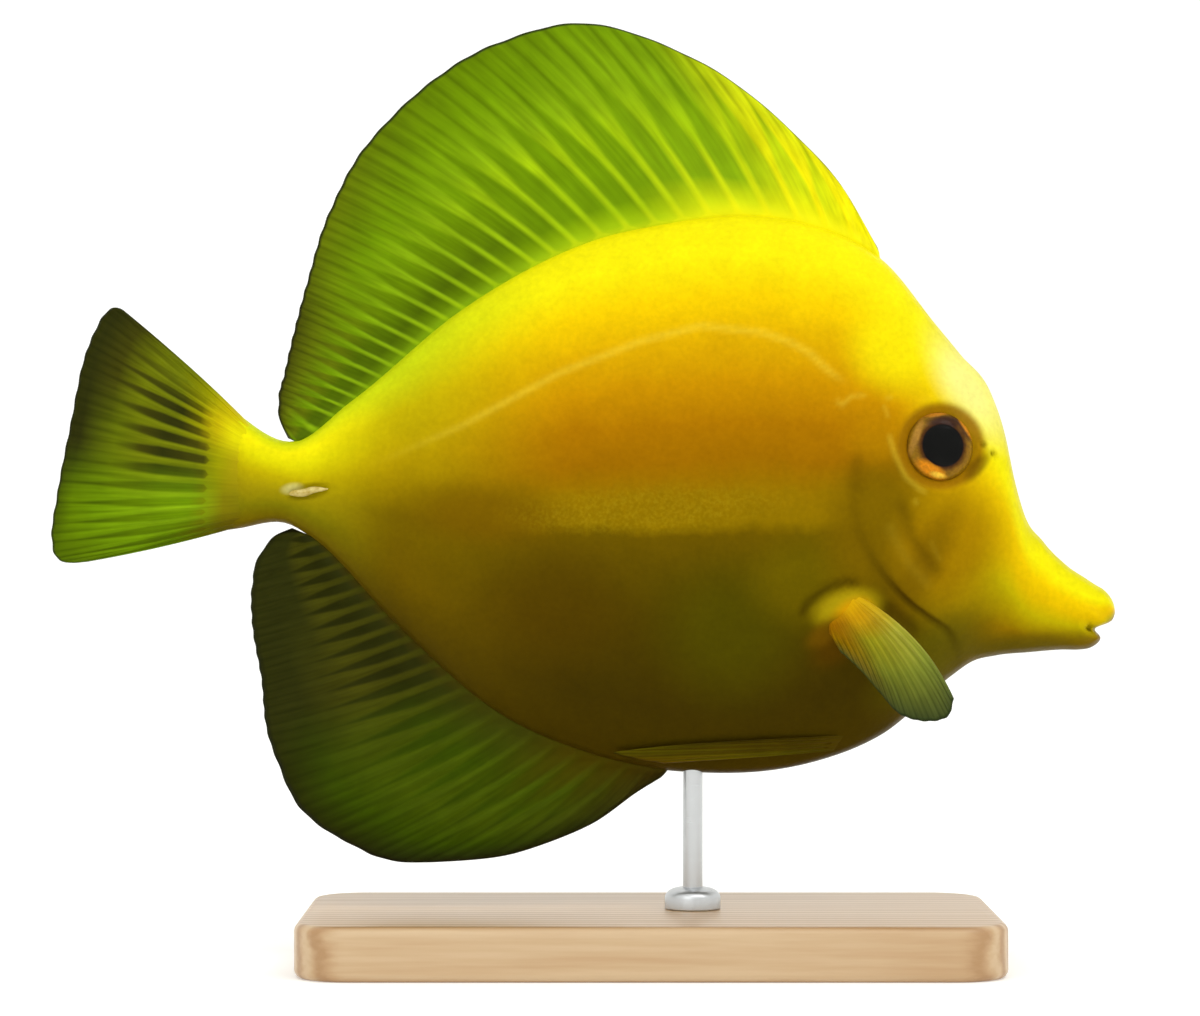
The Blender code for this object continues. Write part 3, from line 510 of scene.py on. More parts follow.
def mottled(tree, place, colour, size, amount):
    """A colour that wanders a little lighter and darker, in blotches of a size in millimetres."""
    noise = add(tree, "TexNoise", {"Vector": place, "Scale": 1.0 / size, "Detail": 2.0})
    value = add(tree, "MapRange", {"Value": noise, "From Min": 0.3, "From Max": 0.7,
                                   "To Min": 1.0 - amount, "To Max": 1.0 + amount})
    return add(tree, "VectorMath", {0: colour, "Scale": value}, operation="SCALE")


def blended(tree, along, stations):
    """Colours that pass softly into one another along a value, given at stations of it."""
    colour = stations[0][1]
    for (start, _), (end, tint) in zip(stations, stations[1:]):
        share = add(tree, "MapRange", {"Value": along, "From Min": start, "From Max": end},
                    interpolation_type="SMOOTHSTEP")
        colour = add(tree, "MixRGB", {"Fac": share, "Color1": colour, "Color2": tint})
    return colour


def skin_material():
    """Living skin under fine, close-set scales and a thin coat of mucus: satin, with small painted glints,
    and painted shade that darkens it towards the belly.
    """
    material, tree, shader = new_material(
        "scaled_skin_satin", IOR=1.38, Specular_IOR_Level=0.10, Specular_Tint=linear("#FFE24A"))
    place = place_in_mm(tree)
    height = add(tree, "Attribute", out="Fac", attribute_name="height")
    uneven = add(tree, "TexNoise", {"Vector": place, "Scale": 1.0 / 3.0, "Detail": 2.0})
    uneven = add(tree, "MapRange", {"Value": uneven, "To Min": -0.015, "To Max": 0.015})
    height = add(tree, "Math", {0: height, 1: uneven}, operation="ADD")
    along = add(tree, "SeparateXYZ", {"Vector": place})
    # The coat's gradient along the body, darker towards the belly with painted shade
    colour = blended(tree, along, [(x, add(tree, "ValToRGB", {"Fac": height}, stops=tints))
                                   for x, tints in COAT_WITH_PAINTED_SHADE])
    colour = airbrush(tree, colour, place, SKIN_PATCHES)

    # Fine pale flecks in the band behind the pectoral fin: painted glints where single scales catch the light
    flecks = add(tree, "TexNoise", {"Vector": place, "Scale": 1.0 / 0.5, "Detail": 3.0})
    flecks = add(tree, "MapRange", {"Value": flecks, "From Min": 0.40, "From Max": 0.72, "To Max": 0.34})
    colour = airbrush(tree, colour, place, [((10.0, 68.2), (18.0, 3.2), 3.0, 0.5, "#A68F18", flecks)])
    # Painted highlights on the raised folds, with the pale lateral line, and painted shade in the creases and
    # recesses
    for name, paint in (("pale", "#E6CC37"), ("dark", "#332402")):
        mask = add(tree, "Attribute", out="Fac", attribute_name=name)
        colour = add(tree, "MixRGB", {"Fac": mask, "Color1": colour, "Color2": linear(paint)})
    colour = mottled(tree, place, colour, 4.0, 0.04)
    colour = mottled(tree, place, colour, 0.8, 0.05)
    tree.links.new(colour, shader.inputs["Base Color"])

    # The scales are about half a millimetre across
    scales = add(tree, "TexVoronoi", {"Vector": place, "Scale": 1.0 / 0.55})
    raised = add(tree, "Bump", {"Height": scales, "Strength": 0.45, "Distance": 0.08 * MM})
    tree.links.new(raised, shader.inputs["Normal"])
    patchy = add(tree, "TexNoise", {"Vector": place, "Scale": 1.0 / 6.0, "Detail": 1.0})
    rough = add(tree, "MapRange", {"Value": patchy, "To Min": 0.34, "To Max": 0.52})
    tree.links.new(rough, shader.inputs["Roughness"])
    return material


def fin_material(name, spaces, stations, shade_wedge, margin):
    """Thin fin skin on bony rays. A station is (share along the fin, tints of its rays from root to tip,
    tints of the skin between them, darker with painted shade). The dark wedges of painted shade between the
    rays are given by where they start and end and their greatest half width, and the margin by its paint,
    width and strength."""
    material, tree, shader = new_material(name, IOR=1.38, Specular_IOR_Level=0.2, Roughness=0.5,
                                          Specular_Tint=linear("#E8F060"))
    place = place_in_mm(tree)
    uv = add(tree, "UVMap", uv_map="UVMap")
    share = add(tree, "SeparateXYZ", {"Vector": uv})
    reach = add(tree, "SeparateXYZ", {"Vector": uv}, out="Y")

    # 0 on a ray and a half midway between two
    count = add(tree, "Math", {0: share, 1: float(spaces)}, operation="MULTIPLY")
    between = add(tree, "Math", {0: count, 1: 0.5}, operation="PINGPONG")
    start, end, width = shade_wedge
    opening = add(tree, "MapRange", {"Value": reach, "From Min": start, "From Max": start + 0.03,
                                     "To Min": 0.0, "To Max": width}, interpolation_type="SMOOTHSTEP")
    full = 0.6 * start + 0.4 * end
    closing = add(tree, "MapRange", {"Value": reach, "From Min": end, "From Max": full})
    wide = add(tree, "Math", {0: opening, 1: closing}, operation="MULTIPLY")
    inside = add(tree, "Math", {0: between, 1: wide}, operation="ADD")
    groove = add(tree, "MapRange", {"Value": inside, "From Min": 0.44, "From Max": 0.64},
                 interpolation_type="SMOOTHSTEP")
    painted = []
    for at, ray_tints, groove_tints in stations:
        ray = add(tree, "ValToRGB", {"Fac": reach}, stops=ray_tints)
        deep = add(tree, "ValToRGB", {"Fac": reach}, stops=groove_tints)
        painted.append((at, add(tree, "MixRGB", {"Fac": groove, "Color1": ray, "Color2": deep})))
    colour = blended(tree, share, painted)

    # Past the middle each ray forks, with a darker line of painted shade on either side of its branches,
    # which are painted a little lighter
    fork = add(tree, "Math", {0: count, 1: 0.25}, operation="ADD")
    fork = add(tree, "Math", {0: fork, 1: 0.25}, operation="PINGPONG")
    fork = add(tree, "MapRange", {"Value": fork, "From Min": 0.12, "From Max": 0.25})
    outer = add(tree, "MapRange", {"Value": reach, "From Min": 0.5, "From Max": 0.8})
    fork = add(tree, "Math", {0: fork, 1: outer}, operation="MULTIPLY")
    shade = add(tree, "MapRange", {"Value": fork, "To Min": 1.06, "To Max": 0.78})
    colour = add(tree, "VectorMath", {0: colour, "Scale": shade}, operation="SCALE")

    # Fine streaks along the rays, and a dark rim
    stretched = add(tree, "Mapping", {"Vector": uv, "Scale": (spaces * 5.0, 3.0, 1.0)})
    streaks = add(tree, "TexNoise", {"Vector": stretched, "Scale": 1.0, "Detail": 2.0})
    light = add(tree, "MapRange", {"Value": streaks, "From Min": 0.3, "From Max": 0.7,
                                   "To Min": 0.84, "To Max": 1.16})
    streaked = add(tree, "VectorMath", {0: colour, "Scale": light}, operation="SCALE")
    free = add(tree, "MapRange", {"Value": reach, "From Min": 0.05, "From Max": 0.3})
    colour = add(tree, "MixRGB", {"Fac": free, "Color1": colour, "Color2": streaked})
    colour = mottled(tree, place, colour, 5.0, 0.08)
    edge = add(tree, "Attribute", out="Fac", attribute_name="edge")
    paint, wide, strength = margin
    rim = add(tree, "MapRange", {"Value": edge, "From Min": wide, "From Max": 0.25 * wide,
                                 "To Min": 0.0, "To Max": strength}, interpolation_type="SMOOTHSTEP")
    colour = add(tree, "MixRGB", {"Fac": rim, "Color1": colour, "Color2": linear(paint)})
    tree.links.new(colour, shader.inputs["Base Color"])
    grain = add(tree, "TexNoise", {"Vector": place, "Scale": 1.0 / 0.5, "Detail": 1.0})
    raised = add(tree, "Bump", {"Height": grain, "Strength": 0.35, "Distance": 0.06 * MM})
    tree.links.new(raised, shader.inputs["Normal"])
    return material


def eye_material():
    """A wet eye: a black pupil in a copper iris with brassy flecks, under a glassy clear coat."""
    material, tree, shader = new_material("wet_eye_copper_iris", Roughness=0.5, Specular_IOR_Level=0.05,
                                          Coat_Weight=1.0, Coat_Roughness=0.04, Coat_IOR=1.13)
    place = place_in_mm(tree)
    away = add(tree, "Attribute", out="Fac", attribute_name="radius")
    colour = add(tree, "ValToRGB", {"Fac": away}, stops=[
        (0.60, "#281203"), (0.68, "#533105"), (0.78, "#7F5A0E"), (0.90, "#8B670C"), (1.0, "#745105")])
    colour = airbrush(tree, colour, place, [
        ((54.0, 81.1), (2.9, 1.0), 0.0, 0.5, "#2E1408", 0.95),       # dark red brown over the pupil
        ((56.7, 79.8), (1.7, 0.6), -57.0, 0.5, "#3D200A", 0.85),
        ((52.6, 82.4), (2.3, 0.45), 10.0, 0.5, "#BD7A22", 0.85),     # orange along the upper rim
        ((57.2, 80.0), (2.7, 0.45), -56.0, 0.5, "#CF8315", 0.9),
        ((49.3, 78.8), (3.3, 0.5), 70.0, 0.5, "#A0742A", 0.8),       # tan towards the tail
        ((51.5, 74.0), (2.3, 0.95), -30.0, 0.45, "#CF7F0C", 0.95),   # the bright patch at the lower rear, with a painted highlight in it
        ((52.6, 73.2), (1.1, 0.4), -14.0, 0.5, "#ECBF37", 0.9)])
    flecks = add(tree, "TexNoise", {"Vector": place, "Scale": 1.0 / 0.5, "Detail": 3.0})
    light = add(tree, "MapRange", {"Value": flecks, "From Min": 0.3, "From Max": 0.7,
                                   "To Min": 0.78, "To Max": 1.22})
    colour = add(tree, "VectorMath", {0: colour, "Scale": light}, operation="SCALE")
    pupil = add(tree, "MapRange", {"Value": away, "From Min": 0.64, "From Max": 0.59},
                interpolation_type="SMOOTHSTEP")
    colour = add(tree, "MixRGB", {"Fac": pupil, "Color1": colour, "Color2": linear("#040403")})
    tree.links.new(colour, shader.inputs["Base Color"])
    return material


def on_all_of(piece, *steps):
    """Carry out steps on a piece in edit mode, with all of it selected."""
    select_only(piece)
    bpy.ops.object.mode_set(mode="EDIT")
    bpy.ops.mesh.select_all(action="SELECT")
    for step in steps:
        step()
    bpy.ops.object.mode_set(mode="OBJECT")


def select_only(piece):
    """Make one piece the only one that operators act on."""
    bpy.ops.object.select_all(action="DESELECT")
    piece.select_set(True)
    bpy.context.view_layer.objects.active = piece


def apply(piece, kind, **settings):
    """Give a piece a modifier and apply it."""
    select_only(piece)
    modifier = piece.modifiers.new(kind.lower(), kind)
    for key, value in settings.items():
        setattr(modifier, key, value)
    bpy.ops.object.modifier_apply(modifier=modifier.name)


def just_added(name):
    """The piece that an operator has just added, under its own name."""
    piece = bpy.context.object
    piece.name = name
    piece.data.name = name
    return piece


def points(piece):
    """The places of a piece's vertices, as x, y and z in millimetres."""
    flat = np.empty(len(piece.data.vertices) * 3)
    piece.data.vertices.foreach_get("co", flat)
    return flat.reshape(-1, 3).T / MM


def move_points(piece, x, y, z):
    """Set the places of a piece's vertices, given in millimetres."""
    flat = (np.stack([x, y, z], axis=1) * MM).ravel()
    piece.data.vertices.foreach_set("co", flat)
    piece.data.update()


def write_attribute(piece, name, values):
    """Keep a number for each vertex of a piece, for its material."""
    attribute = piece.data.attributes.new(name, "FLOAT", "POINT")
    attribute.data.foreach_set("value", np.asarray(values, np.float32))


def grid(name, columns, rows):
    """A flat grid with its own map, and the shares 0 to 1 across and up it of its vertices."""
    bpy.ops.object.select_all(action="DESELECT")
    bpy.ops.mesh.primitive_grid_add(x_subdivisions=columns, y_subdivisions=rows, size=2.0,
                                    calc_uvs=True)
    piece = just_added(name)
    x, y, _ = points(piece) * MM
    return piece, np.clip((x + 1.0) / 2.0, 0.0, 1.0), np.clip((y + 1.0) / 2.0, 0.0, 1.0)


def ball(name, segments, rings):
    """A sphere of radius 1 that is still to be shaped, and the places of its vertices."""
    bpy.ops.object.select_all(action="DESELECT")
    bpy.ops.mesh.primitive_uv_sphere_add(segments=segments, ring_count=rings, radius=1.0)
    piece = just_added(name)
    return piece, points(piece) * MM


def turn_outward(piece):
    """Turn all faces of a closed piece outward, and shade it smooth."""
    on_all_of(piece, lambda: bpy.ops.mesh.normals_make_consistent(inside=False))
    bpy.ops.object.shade_smooth()


def close_halves(piece):
    """Mirror a half across the plane of symmetry, and close the two halves to one skin."""
    apply(piece, "MIRROR", use_axis=(False, True, False), merge_threshold=0.01 * MM)
    on_all_of(piece, lambda: bpy.ops.mesh.remove_doubles(threshold=0.01 * MM))
    turn_outward(piece)


def hand_in(piece, material, slot, *nodes):
    """Give a finished piece its material and its body, and hide the solids that it stands for. The slot is
    not used.
    """
    piece.data.materials.clear()
    piece.data.materials.append(material)
    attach(piece, "root")
    if nodes:
        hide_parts(*nodes)


TRUNK_COLUMNS = 140
HEAD_COLUMNS = 170
SKIN_ROWS = 146
SEAM_STEP = 0.15            # the first rib in front of the gill cover's edge, so that the edge is crisp


def rib_places(share, row):
    """Where the skin's vertices lie in the side view: ribs lean from the tail to the gill cover's
    edge, and from there to the snout."""
    step = 0.35 * row + 0.65 * (1.0 - np.cos(math.pi * row)) / 2.0
    low, high = GILL_EDGE[0][0], GILL_EDGE[-1][0]
    seam = gill_edge(low + (high - low) * step)
    seam_low, seam_high = gill_edge(low), gill_edge(high)
    column = np.round(share * (TRUNK_COLUMNS + HEAD_COLUMNS))
    trunk = column / TRUNK_COLUMNS
    trunk = trunk * (1.0 + 0.35 * (1.0 - trunk))
    head = np.clip((column - TRUNK_COLUMNS) / HEAD_COLUMNS, 0.0, 1.0)
    head = 1.0 - (1.0 - head) ** 1.5
    head = np.where(column == TRUNK_COLUMNS + 1, SEAM_STEP / (SNOUT_END - seam), head)
    on_trunk = column <= TRUNK_COLUMNS

    def lean(at_seam):
        return np.where(on_trunk, TAIL_END + (at_seam - TAIL_END) * trunk,
                        at_seam + (SNOUT_END - at_seam) * head)

    bottom, top = belly(lean(seam_low)), back(lean(seam_high))
    return lean(seam), bottom + (top - bottom) * step


def round_off(x, z, y):
    """Bring the skin round into the plane of symmetry along back and belly."""
    for line, side in ((back, 1.0), (belly, -1.0)):
        slope = (line(x + 0.2) - line(x - 0.2)) / 0.4
        away = np.clip(side * (line(x) - z), 0.0, None) / np.hypot(1.0, slope)
        inner = np.clip(1.0 - away / LAND_ROUNDING, 0.0, 1.0)
        y = y * np.sqrt(1.0 - inner ** 2)
    return y


def markings(x, z):
    """How much paler and how much darker than the coat the skin is painted at points of the side view:
    painted highlights on raised folds, with the pale lateral line, and painted shade in the gill cover's
    groove, the creases, the mouth's slit and the nostrils.
    """
    _, square = ahead_of_gill(x, z)
    sharp, left = gill_sharpness(z)
    pale = np.zeros(len(x))
    # Painted shade in the groove along the gill cover's rear edge
    dark = left * (0.18 + 0.57 * sharp) * bump(square + 0.25, 0.85 - 0.45 * sharp)
    for line, width, _, shade in FOLDS:
        away, along = off_line(line, x, z)
        drawn = abs(shade) * bump(away, width) * faded(along)
        if shade > 0.0:
            pale += drawn
        else:
            dark += drawn
    # Painted shade in the mouth's slit and the nostrils
    away, along = off_line(MOUTH_LINE, x, z)
    dark += 0.35 * bump(away, 0.35) * (1.0 - smooth(along, 0.5, 1.0))
    for place in NOSTRILS:
        dark += 0.3 * bump(np.hypot(x - place[0], z - place[1]), 0.4)
    return np.clip(pale, 0.0, 1.0), np.clip(dark, 0.0, 1.0)


def fish_skin():
    """One skin over head, gill covers, trunk and tail stalk."""
    piece, share, row = grid("tang_skin", TRUNK_COLUMNS + HEAD_COLUMNS, SKIN_ROWS)
    x, z = rib_places(share, row)
    y = round_off(x, z, np.clip(flank(x, z), 0.05, None))
    on_rim = (row < 0.5 / SKIN_ROWS) | (row > 1.0 - 0.5 / SKIN_ROWS) | (share < 1e-4) | (share > 1.0 - 1e-4)
    y = np.where(on_rim, 0.0, y)
    move_points(piece, x - between_lips(x, z), y, z)
    close_halves(piece)

    x, y, z = points(piece)
    pale, dark = markings(x, z)
    write_attribute(piece, "height", (z - belly(x)) / (back(x) - belly(x)))
    write_attribute(piece, "pale", pale)
    write_attribute(piece, "dark", dark)
    hand_in(piece, skin_material(), "skin", "head", "torso", "caudal_peduncle", "gill_cover_left",
            "gill_cover_right")


def along_ray(reach, length):
    """The place along a ray, 0 at the body's surface and 1 at the tip, for a reach that starts inside."""
    return reach * (1.0 + ROOT_SINK / length) - ROOT_SINK / length


def fin_thickness(phase, distance, length, reach):
    """Half a fin's thickness over a ray's phase (0 on a ray, 0.5 midway) and a distance out."""
    split = 0.24 * smooth(reach, 0.50, 0.95)
    ray = bump(np.abs(phase) - split, 0.15 - 0.04 * reach)
    crest = RAY_HALF + (RAY_TIP_HALF - RAY_HALF) * np.clip(distance / length, 0.0, 1.0)
    half = MEMBRANE_HALF + (crest - MEMBRANE_HALF) * ray
    half = half + (ROOT_HALF - half) * bump(np.maximum(distance, 0.0), 1.3)
    thin = np.clip((length - distance) / (0.08 * length + 0.4), 0.0, 1.0)
    return half * (0.45 + 0.55 * thin)


def write_map(piece, across, up):
    """Give each corner of a piece's faces the map place of its vertex."""
    corners = np.empty(len(piece.data.loops), np.int32)
    piece.data.loops.foreach_get("vertex_index", corners)
    places = np.stack([across[corners], up[corners]], axis=1)
    piece.data.uv_layers["UVMap"].data.foreach_set("uv", places.astype(np.float32).ravel())


def fin(name, spaces, columns, rows, lengths, to_space, wave=0.0, flesh=None):
    """A fin as a closed thin pad with its rays raised on both faces. lengths gives a ray's length at a
    share of the way along the fin, to_space turns share, reach and half thickness to a place, and flesh
    gives half the thickness of a fleshy root at a share and a distance out."""
    piece, step, reach = grid(name, columns * spaces, rows)
    share = (1.0 - END_CROWDING) * step + END_CROWDING * (1.0 - np.cos(math.pi * step)) / 2.0
    length = lengths(share)
    distance = reach * (length + ROOT_SINK) - ROOT_SINK
    phase = (share * spaces + 0.5) % 1.0 - 0.5
    half = fin_thickness(phase, distance, length, reach)
    sides = np.minimum(share, 1.0 - share) * spaces
    half = half * np.sqrt(np.clip(1.0 - (1.0 - np.clip(sides / 0.25, 0.0, 1.0)) ** 2, 0.0, 1.0))
    if flesh:
        half = np.hypot(half, flesh(share, distance))
    rim = (step < 1e-5) | (step > 1.0 - 1e-5) | (reach < 1e-5) | (reach > 1.0 - 1e-5)
    move_points(piece, share / MM, np.where(rim, 0.0, half), reach / MM)
    close_halves(piece)

    share, y, reach = points(piece) * np.array([[MM], [1.0], [MM]])
    write_map(piece, share, reach)
    length = lengths(share)
    between = 0.5 - 0.5 * np.cos(share * spaces * 2.0 * math.pi)
    pulled = reach * (1.0 - SCALLOP * between / np.maximum(length, 4.0 * SCALLOP))
    y = y + wave * np.sin(share * 7.0 + reach * 1.5) * reach ** 2
    x, y, z = to_space(share, pulled, y)
    move_points(piece, x, y, z)
    write_attribute(piece, "edge", (1.0 - reach) * length)
    turn_outward(piece)
    return piece


def flat_fin(name, spaces, columns, rows, ends, bow, wave, flesh=None):
    """A fin that stands in the plane of symmetry; ends gives root and tip of a ray in the side view."""

    def lengths(share):
        root_x, root_z, tip_x, tip_z = ends(share)
        return np.hypot(tip_x - root_x, tip_z - root_z)

    def to_space(share, reach, y):
        root_x, root_z, tip_x, tip_z = ends(share)
        run_x, run_z = tip_x - root_x, tip_z - root_z
        length = np.hypot(run_x, run_z)
        out = along_ray(reach, length)
        bulge = bow(share) * out * (1.0 - out)
        return root_x + run_x * out - run_z * bulge, y, root_z + run_z * out + run_x * bulge

    return fin(name, spaces, columns, rows, lengths, to_space, wave, flesh)


def dorsal_fin():
    """The sail of the back: green rays with dark wedges of painted shade between them, yellow towards the
    head.
    """
    spaces, (root, tip_x, tip_z) = fan(DORSAL_GUIDES)

    def ends(share):
        tip = share - DORSAL_SWEEP / spaces * np.sin(math.pi * np.clip(share, 0.0, 1.0))
        x = root(share)
        return x, back(x), tip_x(tip), tip_z(tip)

    piece = flat_fin("dorsal_fin_skin", spaces, 10, 60, ends, lambda share: -0.15 * share, 0.5)
    stations = [
        (0.20, [(0.0, PEAR), (0.12, LEAF), (0.3, LEAF), (0.5, MOSS), (0.8, SEDGE), (1.0, REED)],
         [(0.0, PEAR), (0.04, LEAF), (0.12, FERN), (0.22, PINE), (0.36, PINE), (0.55, SEDGE), (1.0, REED)]),
        (0.45, [(0.0, PEAR), (0.3, LEAF), (0.5, LEAF), (0.7, MOSS), (1.0, SEDGE)],
         [(0.0, PEAR), (0.04, LEAF), (0.12, FERN), (0.22, PINE), (0.36, FERN), (0.6, MOSS), (1.0, SEDGE)]),
        (0.70, [(0.0, CITRUS), (0.12, PEAR), (0.45, PEAR), (0.6, LEAF), (0.8, MOSS), (1.0, FERN)],
         [(0.0, CITRUS), (0.06, PEAR), (0.16, MOSS), (0.7, MOSS), (1.0, FERN)]),
        (0.84, [(0.0, LEMON), (0.15, CITRUS), (0.4, PEAR), (0.7, LEAF), (1.0, MOSS)],
         [(0.0, LEMON), (0.1, CITRUS), (0.22, LEAF), (0.7, MOSS), (1.0, MOSS)]),
        (0.93, [(0.0, LEMON), (0.5, CANARY), (1.0, CITRUS)], [(0.0, LEMON), (0.3, CITRUS), (1.0, PEAR)]),
        (0.98, [(0.0, LEMON), (0.7, LEMON), (1.0, CANARY)], [(0.0, LEMON), (0.6, CANARY), (1.0, CITRUS)])]
    material = fin_material("dorsal_membrane_on_rays", spaces, stations, (0.02, 0.9, 0.42),
                            (INK, 0.6, 0.85))
    hand_in(piece, material, "back_fin", "dorsal_fin")


def anal_fin():
    """The fin under the tail half of the belly, painted dark green: its darkness is painted shade of the
    fish's lower side.
    """
    spaces, (root, tip_x, tip_z) = fan(ANAL_GUIDES)

    def ends(share):
        x = root(share)
        return x, belly(x), tip_x(share), tip_z(share)

    piece = flat_fin("anal_fin_skin", spaces, 10, 54, ends, lambda share: 0.15 * share, 0.5)
    stations = [
        (0.15, [(0.0, REED), (0.45, REED), (0.6, BOG), (1.0, BOG)],
         [(0.0, BARK), (0.15, BOG), (0.3, PITCH), (0.5, PITCH), (0.7, BOG), (1.0, BOG)]),
        (0.45, [(0.0, REED), (0.5, REED), (0.8, BOG), (1.0, BOG)],
         [(0.0, BARK), (0.12, BOG), (0.25, PITCH), (0.6, BOG), (1.0, BOG)]),
        (0.70, [(0.0, REED), (0.25, IVY), (0.6, IVY), (0.8, DEEP), (1.0, PITCH)],
         [(0.0, REED), (0.3, DEEP), (0.8, DEEP), (1.0, PITCH)]),
        (0.84, [(0.0, UMBER), (0.3, IVY), (0.6, IVY), (0.8, DEEP), (1.0, INK)],
         [(0.0, UMBER), (0.5, DEEP), (0.8, BOG), (1.0, INK)]),
        (0.98, [(0.0, BARK), (1.0, INK)], [(0.0, BARK), (1.0, INK)])]
    material = fin_material("anal_membrane_on_rays", spaces, stations, (0.02, 0.7, 0.34),
                            (INK, 1.0, 0.85))
    hand_in(piece, material, "belly_fin", "anal_fin")


def caudal_fin():
    """The tail fin: yellow at its root; olive and dark above, which is painted shade; bright green in the
    lower lobe, which is painted light shining through it.
    """
    spaces, (root, tip_x, tip_z) = fan(CAUDAL_GUIDES)

    def ends(share):
        return np.full_like(share, CAUDAL_ROOT), root(share), tip_x(share), tip_z(share)

    def flesh(share, distance):
        lens = np.sqrt(np.clip(1.0 - np.abs(2.0 * share - 1.0) ** SECTION_POWER, 0.0, 1.0))
        thin, more = TAIL_FLESH
        return (thin + more * lens) * (1.0 - smooth(distance, 0.0, TAIL_FLESH_REACH))

    piece = flat_fin("caudal_fin_skin", spaces, 14, 60, ends,
                     lambda share: 0.06 * (1.0 - 2.0 * share), 0.6, flesh)
    stations = [
        (0.08, [(0.0, OLIVE), (0.2, TEA), (0.4, FERN), (0.65, MOSS), (0.85, FERN), (1.0, PINE)],
         [(0.0, OLIVE), (0.24, TEA), (0.45, PINE), (0.85, PINE), (1.0, DEEP)]),
        (0.28, [(0.0, DRAB), (0.16, DRAB), (0.3, LEAF), (0.4, LEAF), (0.8, MOSS), (0.92, FERN), (1.0, IVY)],
         [(0.0, DRAB), (0.2, DRAB), (0.34, MOSS), (0.6, FERN), (0.8, PINE), (0.92, IVY), (1.0, BOG)]),
        (0.50, [(0.0, STRAW), (0.1, HAY), (0.2, FLAX), (0.32, KHAKI), (0.6, KHAKI), (0.75, SEDGE),
                (0.94, BOG)],
         [(0.0, STRAW), (0.1, HAY), (0.2, FLAX), (0.28, REED), (0.5, BOG), (0.62, REED),
          (0.76, SEDGE), (0.94, BOG)]),
        (0.72, [(0.0, CANARY), (0.12, CANARY), (0.22, STRAW), (0.32, FLAX), (0.45, KHAKI), (0.65, KHAKI),
                (0.8, REED), (0.94, BOG)],
         [(0.0, CANARY), (0.12, CANARY), (0.22, STRAW), (0.32, TEA), (0.42, BOG), (0.7, REED),
          (0.94, PITCH)]),
        (0.92, [(0.0, CANARY), (0.15, STRAW), (0.3, FLAX), (0.45, KHAKI), (0.62, KHAKI), (0.8, REED),
                (0.94, BOG)],
         [(0.0, CANARY), (0.15, STRAW), (0.3, FLAX), (0.5, KHAKI), (0.8, REED), (0.94, BOG)])]
    material = fin_material("caudal_membrane_on_rays", spaces, stations, (0.24, 0.95, 0.34),
                            (BOG, 0.5, 0.6))
    hand_in(piece, material, "tail_fin", "caudal_fin")


def pectoral_fin(word, side):
    """A pectoral fin, swung forward and out from its fleshy pad."""
    spaces, guides = fan(PECTORAL_GUIDES)

    def ends(share):
        root_x, root_z, tip_x, tip_z, out = (guide(share) for guide in guides)
        root_y, _ = plain_flank(root_x, root_z)
        root = np.stack([root_x, root_y, root_z], axis=-1)
        return root, np.stack([tip_x, root_y + out, tip_z], axis=-1)

    def lengths(share):
        root, tip = ends(share)
        return np.linalg.norm(tip - root, axis=-1)

    def to_space(share, reach, y):
        root, tip = ends(share)
        run = tip - root
        length = np.linalg.norm(run, axis=-1)
        out = along_ray(reach, length)
        ahead_root, ahead_tip = ends(np.clip(share + 0.02, 0.0, 1.0))
        last_root, last_tip = ends(np.clip(share - 0.02, 0.0, 1.0))
        spread = 2.0 * (ahead_root - last_root) + ahead_tip - last_tip
        normal = np.cross(run, spread)
        normal /= np.linalg.norm(normal, axis=-1, keepdims=True)
        place = root + run * out[:, None] + normal * y[:, None]
        arch = 4.0 * np.clip(out, 0.0, 1.0) * (1.0 - np.clip(out, 0.0, 1.0))
        bow = arch * (1.0 - share) ** PECTORAL_FADING
        forward, up = PECTORAL_BULGE
        y = side * (place[:, 1] + PECTORAL_CAMBER * length * arch)
        return place[:, 0] + forward * bow, y, place[:, 2] + up * bow

    def flesh(share, distance):
        lens = np.sqrt(np.clip(1.0 - (2.0 * share - 1.0) ** 2, 0.0, 1.0))
        return PECTORAL_FLESH * lens * (1.0 - smooth(distance, 0.0, PECTORAL_FLESH_REACH))

    piece = fin("pectoral_fin_skin_" + word, spaces, 8, 44, lengths, to_space, flesh=flesh)
    # The skin between the rays is painted a little darker than the rays, as painted shade between them
    stations = [
        (0.0, [(0.0, GOLD), (0.16, "#C4A31D"), (0.35, "#AAA53B"), (0.65, "#7E8730"), (1.0, "#3A4424")],
         [(0.0, GOLD), (0.16, "#BD9B15"), (0.35, "#9B992C"), (0.65, "#747E28"), (1.0, "#333E20")]),
        (0.4, [(0.0, GOLD), (0.16, "#C09008"), (0.35, "#948E19"), (0.65, "#6A701E"), (1.0, "#2B361D")],
         [(0.0, GOLD), (0.16, "#B58507"), (0.35, "#858113"), (0.65, "#60671B"), (1.0, "#242E1A")]),
        (0.9, [(0.0, AMBER), (0.2, OCHRE), (0.6, BRASS), (1.0, "#49491D")],
         [(0.0, AMBER), (0.2, OCHRE), (0.6, OLIVE), (1.0, REED)])]
    material = fin_material("pectoral_membrane_on_rays_" + word, spaces, stations, (0.2, 1.4, 0.2),
                            ("#263017", 0.7, 0.8))
    hand_in(piece, material, "side_fin", "pectoral_fin_" + word)


